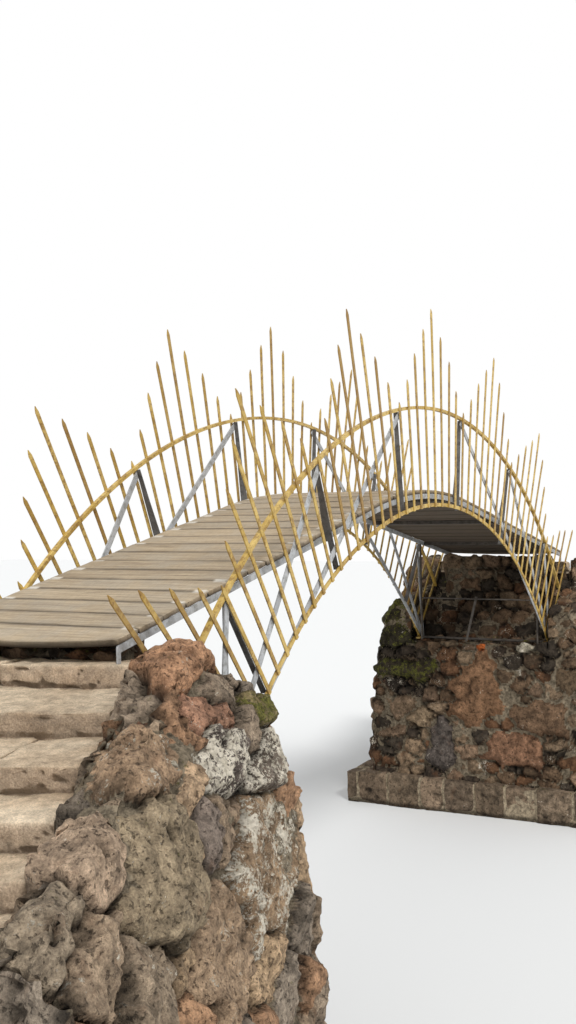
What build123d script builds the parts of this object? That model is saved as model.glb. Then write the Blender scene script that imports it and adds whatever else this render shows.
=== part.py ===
from build123d import *
import math
import os

# Arched garden footbridge: two thin iron ribs with balustrades of radial rays, a plank deck,
# and rubble abutments with wing walls and a short flight of stone steps at each end.
# Millimetres. X runs along the bridge (near end at -X), Y across it (right side at -Y), Z up.
# The origin is on the level the masonry stands on, at the middle of the bridge.

# Arch ribs
arch_radius = 5500.0  # centre of the arch to the lower edge of the arch band
crown_height = 4400.0  # lower edge of the arch band at the crown
springing_angle = 49.8  # half angle of the arch, crown to the outermost ray
band_depth = 38.0  # arch band, a flat bar on edge, measured radially
band_width = 12.0
handrail_rise = 1038.0  # lower edge of the arch band to the middle of the handrail, at the crown
handrail_centre_lift = 140.0  # centre of the handrail's arc above the arch centre
handrail_depth = 32.0
handrail_width = 38.0
handrail_overrun = 0.3  # degrees of handrail past the outermost ray
foot_plate_length = 150.0
foot_plate_width = 55.0
foot_plate_thickness = 20.0
springing_lift = 30.0  # end of the outermost ray above the ledge

# Rays
rays_per_half = 24
rays_per_wave = 8  # one tall ray in every eight
ray_focus_drop = 780.0  # the rays meet this far below the arch centre
ray_width = 40.0
ray_thickness = 12.0
ray_point = 55.0  # length of the cut point
ray_overhang = 4.0  # below the arch band
ray_lengths = (2095.0, 1845.0, 1590.0, 1327.0, 1107.0)  # tall ray down to the shortest

# Posts, brackets and struts
post_thickness = 12.0
post_foot_width = 50.0
post_head_width = 38.0
post_play = 0.8  # under the handrail
gusset_height = 360.0  # from the deck up along the post
strut_width = 58.0
strut_thickness = 12.0
strut_foot_run = 155.0  # where the struts meet on the ledge, behind the arch feet
strut_head_drop = 62.0  # below the middle of the handrail

# Deck
deck_half_width = 865.0
deck_crown_rise = 181.0  # lower edge of the arch band to the deck's top, at the crown
deck_crown_radius = 6860.0
deck_slope = 11.1  # degrees, of the straight runs beside the crown
deck_lap = 65.0  # behind the front of the sill stone
deck_end_radius = 2900.0  # the last planks are cut to an arc
deck_side_gap = 100.0  # edge of the deck to the outer face of a rib
plank_pitch = 300.0
plank_gap = 6.0
plank_thickness = 42.0
beam_depth = 52.0
beam_thickness = 15.0
beam_end_inset = 6.0
beam_leg_width = 30.0
beam_corner = 24.0
cross_bar_depth = 40.0
cross_bar_width = 45.0

# Foot ties and end trestles
tie_radius = 18.0
trestle_offset = 105.0  # in front of the arch feet
trestle_leg_width = 45.0
trestle_rod_radius = 10.0
trestle_rod_height = 605.0  # above the ledge
brace_width = 34.0
brace_thickness = 12.0
brace_lean = 165.0

# Abutments
footing_height = 440.0
footing_length = 1400.0
footing_projection = 130.0  # in front of the wall that stands on it
footing_front_margin = 300.0  # beyond the wing walls, at the water
footing_back_margin = 60.0
wall_batter = 0.0556  # setback of the face per unit of height
ledge_front = 161.0  # edge of the ledge in front of the arch feet
ledge_depth = 360.0
foot_to_back = 1099.0  # arch feet to the back of the abutment
back_slope_drop = 250.0  # top of the slope below the sill
backing_depth = 320.0  # wall under the end of the deck
backing_inset = 35.0  # inside the edges of the deck
backing_clearance = 30.0  # below the deck beams

# Wing walls, in sections behind the edge of the ledge: crest above the ledge, and thickness
wing_clearance = 33.0  # from the rays to the wing walls
wing_runs = (-142.0, 130.0, 520.0, 1175.0)
wing_crests = {
    "near": (240.0, 560.0, 840.0, 1146.0),
    "far": (520.0, 542.0, 594.0, 780.0),
}
wing_widths = {
    "near": (490.0, 577.0, 748.0, 900.0),
    "far": (680.0, 692.0, 746.0, 880.0),
}
# Outline of a section, across and down from its inner crest, in thicknesses: below it is upright
wing_rounding = ((0.45, 0.0), (0.7, 0.4), (0.85, 0.95), (1.0, 2.4))
flare_setback = 100.0  # behind the abutment, where the walls turn outwards
flare_length = 2615.0
flare_rise = 120.0  # crest above the sill at the turn
flare_width = 930.0
wing_end_rise = 60.0  # crest above the last tread
wing_end_width = 563.0
stair_flare = 1177.0  # widening of the stair on each side

# Steps: a fan, in arcs about one centre
sill_drop = 134.0  # from the top of the planks to the top of the sill stone
sill_gap = 10.0  # behind the abutment
sill_depth = 300.0  # at the middle of the bridge
fan_radius = 2310.0  # front of the sill stone
riser = 145.0
treads = (775.0, 665.0, 505.0, 375.0, 340.0)
tread_lap = 40.0  # of each slab under the one above
core_inset = 20.0
slab_chamfer = 12.0

# Values that follow from the ones above
arch_centre_z = crown_height - arch_radius
handrail_radius = arch_radius + handrail_rise - handrail_centre_lift
handrail_centre_z = arch_centre_z + handrail_centre_lift
focus_z = arch_centre_z - ray_focus_drop
ray_pitch = springing_angle / rays_per_half
springing_x = arch_radius * math.sin(math.radians(springing_angle))
springing_z = arch_centre_z + arch_radius * math.cos(math.radians(springing_angle))
ledge_z = springing_z - springing_lift
abutment_back = springing_x + foot_to_back
ledge_edge = springing_x - ledge_front
wall_face = ledge_edge - (ledge_z - footing_height) * wall_batter
footing_front = wall_face - footing_projection
footing_back = footing_front + footing_length
rib_outer = deck_half_width + deck_side_gap
rib_inner = rib_outer - band_width
handrail_inner = rib_outer - handrail_width
plate_inner = rib_outer - foot_plate_width
post_outer = rib_inner - strut_thickness
ray_outer = rib_outer + ray_thickness
wing_inner = ray_outer + wing_clearance
sill_inner = abutment_back + sill_gap
sill_front = sill_inner + sill_depth
fan_centre = sill_front - fan_radius
deck_end = sill_front - deck_lap
deck_end_centre = deck_end - deck_end_radius
deck_corner = deck_end_centre + math.sqrt(deck_end_radius**2 - deck_half_width**2)
slope_angle = math.radians(deck_slope)
deck_centre_z = crown_height + deck_crown_rise - deck_crown_radius
deck_arc_x = deck_crown_radius * math.sin(slope_angle)
deck_arc_z = deck_centre_z + deck_crown_radius * math.cos(slope_angle)
arc_run = deck_crown_radius * slope_angle
half_run = arc_run + (deck_end - deck_arc_x) / math.cos(slope_angle)
sill_top = deck_arc_z - (deck_end - deck_arc_x) * math.tan(slope_angle) - sill_drop
step_radii = [fan_radius + sum(treads[:n]) for n in range(len(treads) + 1)]
stair_foot_half_width = wing_inner + stair_flare
flare_start = abutment_back + flare_setback
wing_end = flare_start + flare_length
post_indices = tuple(range(rays_per_wave // 2, rays_per_half, rays_per_wave))
ends = {"near": -1, "far": 1}
sides = {"right": -1, "left": 1}


def polar(radius, angle):
    """A point of the elevation, by its radius from the arch centre and its angle from the crown."""
    turn = math.radians(angle)
    return (radius * math.sin(turn), arch_centre_z + radius * math.cos(turn))


def deck_point(drop, x):
    """Height of a line that runs at a square distance below the top of the deck, at x."""
    x = abs(x)
    radius = deck_crown_radius - drop
    if x <= radius * math.sin(slope_angle):
        return deck_centre_z + math.sqrt(radius**2 - x**2)
    start_x = radius * math.sin(slope_angle)
    start_z = deck_centre_z + radius * math.cos(slope_angle)
    return start_z - (x - start_x) * math.tan(slope_angle)


def ray_lean(index):
    """Angle from upright of the ray that starts at its share of the arch, in degrees."""
    x, z = polar(arch_radius, index * ray_pitch)
    return math.degrees(math.atan2(x, z - focus_z))


def ray_point_at(reach, lean):
    """A point of the elevation, by its distance from the focus of the rays, along one of them."""
    turn = math.radians(lean)
    return (reach * math.sin(turn), focus_z + reach * math.cos(turn))


def reach_to_arc(radius, centre_z, lean):
    """Distance along a ray, from the focus, to an arc about a centre above the focus."""
    turn = math.radians(lean)
    lift = centre_z - focus_z
    return lift * math.cos(turn) + math.sqrt(radius**2 - (lift * math.sin(turn)) ** 2)


def reach_to_deck(drop, lean):
    """Distance along a ray, from the focus, to the line below the top of the deck."""
    turn = math.radians(lean)
    reach = arch_radius + ray_focus_drop
    for _ in range(30):
        height = deck_point(drop, reach * math.sin(turn))
        reach = (height - focus_z) / math.cos(turn)
    return reach


def elevation(y_a, y_b):
    """The plane on which an elevation is drawn, to be extruded towards -Y by the width."""
    return Plane.XZ.offset(-max(y_a, y_b))


def ring_sector(inner, outer, centre_z, angle):
    """A sector of a ring, symmetrical about the crown."""
    with BuildSketch() as sector:
        with BuildLine():
            low = CenterArc((0, centre_z), inner, 90 - angle, 2 * angle)
            high = CenterArc((0, centre_z), outer, 90 - angle, 2 * angle)
            Line(low @ 0, high @ 0)
            Line(low @ 1, high @ 1)
        make_face()
    return sector.sketch


def face_x(z):
    """Distance of the battered abutment face from the middle of the bridge, at height z."""
    return wall_face + (z - footing_height) * wall_batter


def stair_half_width(x):
    """Half width between the wing walls, which flare out towards the foot of the steps."""
    if x <= flare_start:
        return wing_inner
    share = (x - flare_start) / flare_length
    return wing_inner + share * (stair_foot_half_width - wing_inner)


def wing_sections(end_name):
    """Sections of a wing wall from the water to the foot of the steps: x, crest height, thickness."""
    crests, widths = wing_crests[end_name], wing_widths[end_name]
    rows = [(ledge_edge + run, ledge_z + crests[n], widths[n]) for n, run in enumerate(wing_runs)]
    rows.append((flare_start, sill_top + flare_rise, flare_width))
    rows.append((wing_end, sill_top - len(treads) * riser + wing_end_rise, wing_end_width))
    return rows


def wing_foot_y(end_name, x):
    """Outer face of a wing wall at the level it stands on, at x."""
    rows = wing_sections(end_name)
    for before, after in zip(rows, rows[1:]):
        if x <= after[0]:
            share = (x - before[0]) / (after[0] - before[0])
            return stair_half_width(x) + before[2] + share * (after[2] - before[2])
    return stair_half_width(x) + rows[-1][2]


def save(piece, label):
    """Labels a finished piece and writes it to its own file."""
    piece.label = label
    export_step(piece, f"parts/{label}.step")


# Footings: a course of dressed blocks that projects towards the water
def make_footing(end_name, end):
    front_y = wing_foot_y(end_name, wall_face) + footing_front_margin
    back_y = wing_foot_y(end_name, footing_back) + footing_back_margin
    with BuildPart() as footing:
        with BuildSketch(Plane.XY):
            with BuildLine():
                Polyline(
                    (end * footing_front, -front_y),
                    (end * footing_front, front_y),
                    (end * footing_back, back_y),
                    (end * footing_back, -back_y),
                    close=True,
                )
            make_face()
        extrude(amount=footing_height)
    return footing.part


# Abutments: the battered wall, the ledge for the arch feet, the slope behind it up to the sill,
# and the wall that closes the space under the end of the deck
def make_abutment(end, footing):
    backing_front = abutment_back - backing_depth
    backing_half_width = deck_half_width - backing_inset
    drop = plank_thickness + beam_depth + backing_clearance
    with BuildPart() as abutment:
        with BuildSketch(elevation(-wing_inner, wing_inner)):
            with BuildLine():
                Polyline(
                    (end * face_x(0), 0),
                    (end * ledge_edge, ledge_z),
                    (end * (ledge_edge + ledge_depth), ledge_z),
                    (end * abutment_back, sill_top - back_slope_drop),
                    (end * abutment_back, 0),
                    close=True,
                )
            make_face()
        extrude(amount=2 * wing_inner)
        with BuildSketch(elevation(-backing_half_width, backing_half_width)):
            with BuildLine():
                Polyline(
                    (end * backing_front, ledge_z),
                    (end * backing_front, deck_point(drop, backing_front)),
                    (end * abutment_back, deck_point(drop, abutment_back)),
                    (end * abutment_back, ledge_z),
                    close=True,
                )
            make_face()
        extrude(amount=2 * backing_half_width)
        add(footing, mode=Mode.SUBTRACT)
    return abutment.part


# Wing walls: rounded cheeks beside the arch feet that flare out along the steps
def make_wing(end_name, end, side, footing):
    rows = wing_sections(end_name)
    top = max(crest for _, crest, _ in rows)
    with BuildPart() as wing:
        loops = []
        for x, crest, width in rows:
            inner = stair_half_width(x)
            outline = [(inner, 0), (inner, crest)]
            outline += [(inner + across * width, crest - down * width) for across, down in wing_rounding]
            outline.append((outline[-1][0], 0))
            loops.append([(end * x, side * y, z) for y, z in outline])
        faces = [loops[0], loops[-1]]
        for here, there in zip(loops, loops[1:]):
            faces += [[here[n - 1], here[n], there[n], there[n - 1]] for n in range(len(here))]
        add(Solid(Shell([Face(Wire.make_polygon(face)) for face in faces])))
        with BuildSketch(elevation(0, side * 2 * stair_foot_half_width)):
            with BuildLine():
                Polyline(
                    (end * face_x(0), 0),
                    (end * face_x(top), top),
                    (end * wing_end, top),
                    (end * wing_end, 0),
                    close=True,
                )
            make_face()
        extrude(amount=2 * stair_foot_half_width, mode=Mode.INTERSECT)
        add(footing, mode=Mode.SUBTRACT)
    return wing.part


# Stair core: the stepped masonry between the wing walls
def stair_plan(end, start, inner_radius, outer_radius):
    """Plan between the wing walls, beyond x = start, from one radius of the fan to the next."""
    far = fan_centre + outer_radius
    outline = [(end * x, stair_half_width(x)) for x in (start, flare_start, far)]
    outline += [(x, -y) for x, y in reversed(outline)]
    with BuildSketch() as plan:
        with Locations((end * fan_centre, 0)):
            Circle(outer_radius)
            if inner_radius:
                Circle(inner_radius, mode=Mode.SUBTRACT)
        with BuildLine():
            Polyline(*outline, close=True)
        make_face(mode=Mode.INTERSECT)
    return plan.sketch


def make_stair_core(end):
    with BuildPart() as core:
        for n, radius in enumerate(step_radii):
            inset = tread_lap if n < len(treads) else core_inset
            with BuildSketch(Plane.XY):
                add(stair_plan(end, abutment_back, 0, radius - inset))
            extrude(amount=sill_top - (n + 1) * riser)
    return core.part


# Steps: one slab to each tread, and the sill that the deck's beams stand on
def make_slab(end, start, inner_radius, outer_radius, top):
    with BuildPart() as slab:
        with BuildSketch(Plane.XY.offset(top - riser)):
            add(stair_plan(end, start, inner_radius, outer_radius))
        extrude(amount=riser)
        nosing = slab.edges().filter_by(GeomType.CIRCLE).group_by(Axis.Z)[-1].sort_by(SortBy.RADIUS)[-1]
        chamfer(nosing, length=slab_chamfer)
    return slab.part


def make_steps(end):
    slabs = []
    for n, (before, radius) in enumerate(zip(step_radii, step_radii[1:]), start=1):
        slabs.append(make_slab(end, sill_inner, before - tread_lap, radius, sill_top - n * riser))
    return Compound(children=slabs)


# Arch ribs: the band of each arch on its foot plates
def make_arch_rib(side):
    inner_y, outer = side * rib_inner, side * rib_outer
    with BuildPart() as rib:
        with BuildSketch(elevation(inner_y, outer)):
            add(ring_sector(arch_radius, arch_radius + band_depth, arch_centre_z, springing_angle + 1))
        extrude(amount=band_width)
        with BuildSketch(elevation(inner_y, outer)):
            with Locations((0, ledge_z)):
                Rectangle(2 * arch_radius, 2 * arch_radius, align=(Align.CENTER, Align.MIN))
        extrude(amount=band_width, mode=Mode.INTERSECT)
        for end in ends.values():
            with BuildSketch(elevation(side * plate_inner, outer)):
                with Locations((end * springing_x, ledge_z)):
                    Rectangle(
                        foot_plate_length, foot_plate_thickness, align=(Align.CENTER, Align.MIN)
                    )
            extrude(amount=foot_plate_width)
    return rib.part


def make_handrail(side):
    inner, outer = handrail_radius - handrail_depth / 2, handrail_radius + handrail_depth / 2
    lean = ray_lean(rays_per_half)
    x, z = ray_point_at(reach_to_arc(handrail_radius, handrail_centre_z, lean), lean)
    angle = math.degrees(math.atan2(x, z - handrail_centre_z)) + handrail_overrun
    with BuildPart() as handrail:
        with BuildSketch(elevation(side * handrail_inner, side * rib_outer)):
            add(ring_sector(inner, outer, handrail_centre_z, angle))
        extrude(amount=handrail_width)
    return handrail.part


# Rays: flat pointed laths on the outer faces of the arch band and the handrail
def ray_length(index):
    """Rays rise and fall in waves: the index counts from the crown."""
    step = abs(index) % rays_per_wave
    return ray_lengths[min(step, rays_per_wave - step)]


def make_rays(side, indices):
    with BuildPart() as rays:
        with BuildSketch(elevation(side * rib_outer, side * ray_outer)):
            for index in indices:
                lean = ray_lean(index)
                x, z = ray_point_at(reach_to_arc(arch_radius, arch_centre_z, lean) - ray_overhang, lean)
                length = ray_length(index) + ray_overhang
                with Locations(Location((x, z, 0), (0, 0, -lean))):
                    Polygon(
                        (-ray_width / 2, 0),
                        (ray_width / 2, 0),
                        (ray_width / 2, length - ray_point),
                        (0, length),
                        (-ray_width / 2, length - ray_point),
                        align=None,
                    )
        extrude(amount=ray_thickness)
    return rays.part


# Posts: plates behind the rays, from band to handrail, with a gusset that reaches the deck
def post_outline(side, index, lean):
    """Outline of a post: distance across the bridge, and distance from the focus of the rays."""
    foot = reach_to_arc(arch_radius, arch_centre_z, lean)
    band_top = reach_to_arc(arch_radius + band_depth, arch_centre_z, lean)
    head = reach_to_arc(handrail_radius - handrail_depth / 2, handrail_centre_z, lean) - post_play
    foot_inner = post_outer - post_foot_width
    head_inner = post_outer - post_head_width
    outline = [(post_outer, head), (head_inner, head)]
    if index == post_indices[-1]:
        outline += [(foot_inner, foot), (post_outer, foot)]
    else:
        deck_top = reach_to_deck(0, lean)
        beam_low = reach_to_deck(plank_thickness + beam_depth, lean)
        outline += [(foot_inner, deck_top + gusset_height), (deck_half_width, deck_top)]
        outline += [(deck_half_width, beam_low), (foot_inner, beam_low), (foot_inner, foot)]
        outline += [(rib_inner, foot), (rib_inner, band_top), (post_outer, band_top)]
    return [(side * y, reach) for y, reach in outline]


def make_posts(side):
    with BuildPart() as posts:
        for end in ends.values():
            for index in post_indices:
                lean = ray_lean(end * index)
                turn = math.radians(lean)
                plane = Plane(
                    origin=(0, 0, focus_z),
                    x_dir=(0, 1, 0),
                    z_dir=(math.cos(turn), 0, -math.sin(turn)),
                )
                with BuildSketch(plane):
                    with BuildLine():
                        Polyline(*post_outline(side, index, lean), close=True)
                    make_face()
                extrude(amount=post_thickness / 2, both=True)
    return posts.part


# Struts: flat bars that fan out from one place on the ledge to the heads of the posts
def make_struts(side):
    outer_y = side * rib_inner
    with BuildPart() as struts:
        with BuildSketch(elevation(side * post_outer, outer_y)):
            for end in ends.values():
                foot = Vector(end * (springing_x + strut_foot_run), ledge_z)
                for index in post_indices:
                    lean = ray_lean(end * index)
                    reach = reach_to_arc(handrail_radius - strut_head_drop, handrail_centre_z, lean)
                    head = Vector(*ray_point_at(reach, lean))
                    run = head - foot
                    turn = math.degrees(math.atan2(run.Y, run.X))
                    middle = (foot + head) / 2
                    with Locations(Location((middle.X, middle.Y, 0), (0, 0, turn))):
                        Rectangle(run.length + strut_width, strut_width)
        extrude(amount=strut_thickness)
        with BuildSketch(elevation(side * post_outer, outer_y)):
            with Locations((0, ledge_z)):
                Rectangle(4 * arch_radius, 4 * arch_radius, align=(Align.CENTER, Align.MIN))
        extrude(amount=strut_thickness, mode=Mode.INTERSECT)
    return struts.part


# Deck: planks laid across two side beams
def deck_station(run):
    """Point and downward tilt in degrees of the deck's top, at a length along it from the crown."""
    way = math.copysign(1, run)
    run = abs(run)
    if run <= arc_run:
        turn = run / deck_crown_radius
        x = deck_crown_radius * math.sin(turn)
        return way * x, deck_centre_z + deck_crown_radius * math.cos(turn), way * math.degrees(turn)
    past = run - arc_run
    x = deck_arc_x + past * math.cos(slope_angle)
    return way * x, deck_arc_z - past * math.sin(slope_angle), way * deck_slope


planks_per_half = round(half_run / plank_pitch)
plank_step = half_run / planks_per_half
crown_planks = round(arc_run / plank_step)


def make_planks(indices, end=0):
    """A run of planks. At an end of the deck the last one is cut to an arc."""
    with BuildPart() as planks:
        for index in indices:
            x, z, tilt = deck_station((index + 0.5) * plank_step)
            with Locations(Location((x, 0, z), (0, tilt, 0))):
                Box(
                    plank_step - plank_gap,
                    2 * deck_half_width,
                    plank_thickness,
                    align=(Align.CENTER, Align.CENTER, Align.MAX),
                )
        if end:
            with Locations((end * deck_end_centre, 0, crown_height)):
                Cylinder(deck_end_radius, 2 * crown_height, mode=Mode.INTERSECT)
    return planks.part


def make_deck_beam(side):
    high, low = plank_thickness, plank_thickness + beam_depth
    end_x = deck_corner - beam_end_inset
    leg_x = end_x - beam_leg_width
    high_x = (deck_crown_radius - high) * math.sin(slope_angle)
    low_x = (deck_crown_radius - low) * math.sin(slope_angle)
    with BuildPart() as beam:
        with BuildSketch(elevation(side * (deck_half_width - beam_thickness), side * deck_half_width)):
            with BuildLine():
                ThreePointArc(
                    (-high_x, deck_point(high, high_x)),
                    (0, deck_point(high, 0)),
                    (high_x, deck_point(high, high_x)),
                )
                ThreePointArc(
                    (-low_x, deck_point(low, low_x)),
                    (0, deck_point(low, 0)),
                    (low_x, deck_point(low, low_x)),
                )
                for end in ends.values():
                    Polyline(
                        (end * high_x, deck_point(high, high_x)),
                        (end * end_x, deck_point(high, end_x)),
                        (end * end_x, sill_top),
                        (end * leg_x, sill_top),
                        (end * leg_x, deck_point(low, leg_x)),
                        (end * low_x, deck_point(low, low_x)),
                    )
            make_face()
        extrude(amount=beam_thickness)
        upright = beam.edges().filter_by(Axis.Y)
        corners = [upright.group_by(Axis.X)[n].sort_by(Axis.Z)[-1] for n in (0, -1)]
        fillet(corners, radius=beam_corner)
    return beam.part


def make_cross_bars():
    length = 2 * (deck_half_width - beam_thickness)
    with BuildPart() as bars:
        for end in ends.values():
            for index in post_indices:
                lean = ray_lean(end * index)
                x, _ = ray_point_at(reach_to_deck(plank_thickness, lean), lean)
                tilt = math.degrees(math.asin(min(abs(x), deck_arc_x) / deck_crown_radius))
                drop = plank_thickness + (beam_depth - cross_bar_depth) / 2
                z = deck_point(drop, x)
                with Locations(Location((x, 0, z), (0, end * tilt, 0))):
                    Box(
                        cross_bar_width,
                        length,
                        cross_bar_depth,
                        align=(Align.CENTER, Align.CENTER, Align.MAX),
                    )
    return bars.part


# Foot ties and trestles under the ends of the deck
def make_foot_tie(end):
    with BuildPart() as tie:
        with BuildSketch(elevation(-plate_inner, plate_inner)):
            with Locations((end * springing_x, ledge_z + tie_radius)):
                Circle(tie_radius)
        extrude(amount=2 * plate_inner)
    return tie.part


def make_trestle(end):
    low = plank_thickness + beam_depth
    middle = springing_x - trestle_offset
    leg_inner = deck_half_width - beam_thickness
    rod_z = ledge_z + trestle_rod_height
    with BuildPart() as trestle:
        for side in sides.values():
            with BuildSketch(elevation(side * leg_inner, side * deck_half_width)):
                with BuildLine():
                    edges = (middle - trestle_leg_width / 2, middle + trestle_leg_width / 2)
                    Polyline(
                        (end * edges[0], ledge_z),
                        (end * edges[1], ledge_z),
                        (end * edges[1], deck_point(low, edges[1])),
                        (end * edges[0], deck_point(low, edges[0])),
                        close=True,
                    )
                make_face()
            extrude(amount=beam_thickness)
        with BuildSketch(elevation(-leg_inner, leg_inner)):
            with Locations((end * middle, rod_z)):
                Circle(trestle_rod_radius)
        extrude(amount=2 * leg_inner)
        with BuildSketch(Plane.YZ.offset(end * middle - brace_thickness / 2)):
            with BuildLine():
                Polyline(
                    (brace_lean, ledge_z),
                    (brace_lean + brace_width, ledge_z),
                    (brace_width, rod_z + brace_width),
                    (0, rod_z + brace_width),
                    close=True,
                )
            make_face()
        extrude(amount=brace_thickness)
    return trestle.part


for end_name, end in ends.items():
    footing = make_footing(end_name, end)
    save(footing, f"footing_{end_name}")
    save(make_abutment(end, footing), f"abutment_{end_name}")
    for side_name, side in sides.items():
        save(make_wing(end_name, end, side, footing), f"wing_wall_{end_name}_{side_name}")
    save(make_stair_core(end), f"stair_core_{end_name}")
    save(make_slab(end, sill_inner, 0, fan_radius, sill_top), f"sill_stone_{end_name}")
    save(make_steps(end), f"steps_{end_name}")
    save(make_foot_tie(end), f"foot_tie_{end_name}")
    save(make_trestle(end), f"deck_trestle_{end_name}")

ray_groups = {
    "near": range(-rays_per_half, -rays_per_wave),
    "crown": range(-rays_per_wave, rays_per_wave + 1),
    "far": range(rays_per_wave + 1, rays_per_half + 1),
}
for side_name, side in sides.items():
    save(make_arch_rib(side), f"arch_rib_{side_name}")
    save(make_handrail(side), f"handrail_{side_name}")
    for group, indices in ray_groups.items():
        save(make_rays(side, indices), f"rays_{side_name}_{group}")
    save(make_posts(side), f"posts_{side_name}")
    save(make_struts(side), f"struts_{side_name}")
    save(make_deck_beam(side), f"deck_beam_{side_name}")

save(make_planks(range(-planks_per_half, -crown_planks), ends["near"]), "deck_planks_near")
save(make_planks(range(-crown_planks, crown_planks)), "deck_planks_crown")
save(make_planks(range(crown_planks, planks_per_half), ends["far"]), "deck_planks_far")
save(make_cross_bars(), "deck_cross_bars")
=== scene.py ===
import math
from typing import NamedTuple

import bpy
import numpy as np
from bpy.props import FloatProperty, FloatVectorProperty, PointerProperty
from mathutils import Matrix, Vector


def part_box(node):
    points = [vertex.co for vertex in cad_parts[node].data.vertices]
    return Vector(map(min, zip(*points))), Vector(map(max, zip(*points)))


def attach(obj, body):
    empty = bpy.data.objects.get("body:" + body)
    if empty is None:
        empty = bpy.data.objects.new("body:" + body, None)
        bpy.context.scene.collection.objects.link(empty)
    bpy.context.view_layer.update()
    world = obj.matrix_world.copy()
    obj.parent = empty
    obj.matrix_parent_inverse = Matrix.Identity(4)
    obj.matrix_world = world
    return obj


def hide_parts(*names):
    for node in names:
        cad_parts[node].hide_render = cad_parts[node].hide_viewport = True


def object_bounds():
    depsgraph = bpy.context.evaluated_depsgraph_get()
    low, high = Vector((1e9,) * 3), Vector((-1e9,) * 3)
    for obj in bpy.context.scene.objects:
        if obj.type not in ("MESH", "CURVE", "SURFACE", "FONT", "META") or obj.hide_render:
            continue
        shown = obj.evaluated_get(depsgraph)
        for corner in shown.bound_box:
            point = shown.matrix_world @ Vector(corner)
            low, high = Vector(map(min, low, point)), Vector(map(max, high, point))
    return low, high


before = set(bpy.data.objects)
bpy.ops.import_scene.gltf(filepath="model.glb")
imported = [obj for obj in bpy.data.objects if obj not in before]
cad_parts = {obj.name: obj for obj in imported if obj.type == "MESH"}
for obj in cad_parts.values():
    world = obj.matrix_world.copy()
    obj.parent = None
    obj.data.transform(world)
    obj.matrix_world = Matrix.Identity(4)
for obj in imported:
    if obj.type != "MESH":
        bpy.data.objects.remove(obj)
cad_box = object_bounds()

bl_info = {
    "name": "Arched garden footbridge",
    "version": (1, 0, 0),
    "blender": (4, 5, 0),
    "location": "3D View > Sidebar > Footbridge",
    "description": "Rubble stonework, worn steps, weathered planks and painted iron rays of a footbridge",
    "category": "Object",
}

ENDS = {"near": -1, "far": 1}
SIDES = {"right": -1, "left": 1}
BODY = "root"

# Arch and rays, in metres, as the solids have them
ARCH_RADIUS = 5.5
CROWN_HEIGHT = 4.4
HANDRAIL_RISE = 1.038
RIB_OUTER = 0.965
SPRINGING_ANGLE = math.radians(49.8)
RAYS_PER_HALF = 24
RAYS_PER_WAVE = 8
RAY_FOCUS_DROP = 0.78
RAY_WIDTH = 0.04
RAY_THICKNESS = 0.012
RAY_POINT = 0.055
RAY_OVERHANG = 0.004
RAY_LENGTHS = (2.095, 1.845, 1.590, 1.327, 1.107)

# Deck
DECK_CROWN_RISE = 0.181
DECK_CROWN_RADIUS = 6.86
DECK_SLOPE = math.radians(11.1)
DECK_LAP = 0.065
DECK_END_RADIUS = 2.9
PLANK_PITCH = 0.3
PLANK_THICKNESS = 0.042

# Masonry: the wing walls by sections behind the edge of the ledge, and their rounding in thicknesses
WALL_BATTER = 0.0556
LEDGE_FRONT = 0.161
LEDGE_DEPTH = 0.36
BACK_SLOPE_DROP = 0.25
BACKING_DEPTH = 0.32
BACKING_HALF_WIDTH = 0.83
FOOTING_PROJECTION = 0.35
FOOTING_INSETS = {"near": (0.17, 0.0), "far": (0.0, 0.05)}
SEAT = 0.02
FLARE_SETBACK = 0.1
FLARE_RISE = 0.12
FLARE_WIDTH = 0.93
STAIR_FLARE = 1.177
WING_RUNS = (-0.142, 0.13, 0.52, 1.175)
WING_CRESTS = {"near": (0.24, 0.56, 0.84, 1.146), "far": (0.52, 0.542, 0.594, 0.78)}
WING_WIDTHS = {"near": (0.49, 0.577, 0.748, 0.9), "far": (0.68, 0.692, 0.746, 0.88)}
WING_ROUNDING = ((0.45, 0.0), (0.7, 0.4), (0.85, 0.95), (1.0, 2.4))
WING_END_RISE = 0.06

# Steps: a fan of treads, in arcs about one centre
FAN_RADIUS = 2.31
TREADS = (0.775, 0.665, 0.505, 0.375, 0.34)
TREAD_LAP = 0.04
CORE_INSET = 0.02

# Places read from the frame
tie_low, tie_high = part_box("foot_tie_far")
sill_low, sill_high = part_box("sill_stone_far")
abutment_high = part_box("abutment_far")[1]
steps_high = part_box("steps_far")[1]
wing_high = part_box("wing_wall_far_left")[1]
footing_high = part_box("footing_far")[1]
planks_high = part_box("deck_planks_far")[1]
springing_x = (tie_low[0] + tie_high[0]) / 2
ledge_z = tie_low[2]
ledge_edge = springing_x - LEDGE_FRONT
abutment_back = abutment_high[0]
wing_inner = abutment_high[1]
sill_inner, sill_front, sill_top = sill_low[0], sill_high[0], sill_high[2]
riser = sill_top - steps_high[2]
fan_centre = sill_front - FAN_RADIUS
step_radii = [FAN_RADIUS + sum(TREADS[:n]) for n in range(len(TREADS) + 1)]
flare_start = abutment_back + FLARE_SETBACK
wing_end = wing_high[0]
flare_slope = STAIR_FLARE / (wing_end - flare_start)
steps_foot = sill_top - len(TREADS) * riser
wing_end_width = wing_high[1] - wing_inner - STAIR_FLARE
footing_top = footing_high[2]
arch_centre_z = CROWN_HEIGHT - ARCH_RADIUS
deck_half_width = planks_high[1]
deck_end = sill_front - DECK_LAP
deck_end_centre = deck_end - DECK_END_RADIUS
focus_z = arch_centre_z - RAY_FOCUS_DROP
deck_centre_z = CROWN_HEIGHT + DECK_CROWN_RISE - DECK_CROWN_RADIUS
deck_arc_run = DECK_CROWN_RADIUS * DECK_SLOPE
deck_arc_x = DECK_CROWN_RADIUS * math.sin(DECK_SLOPE)


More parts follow.
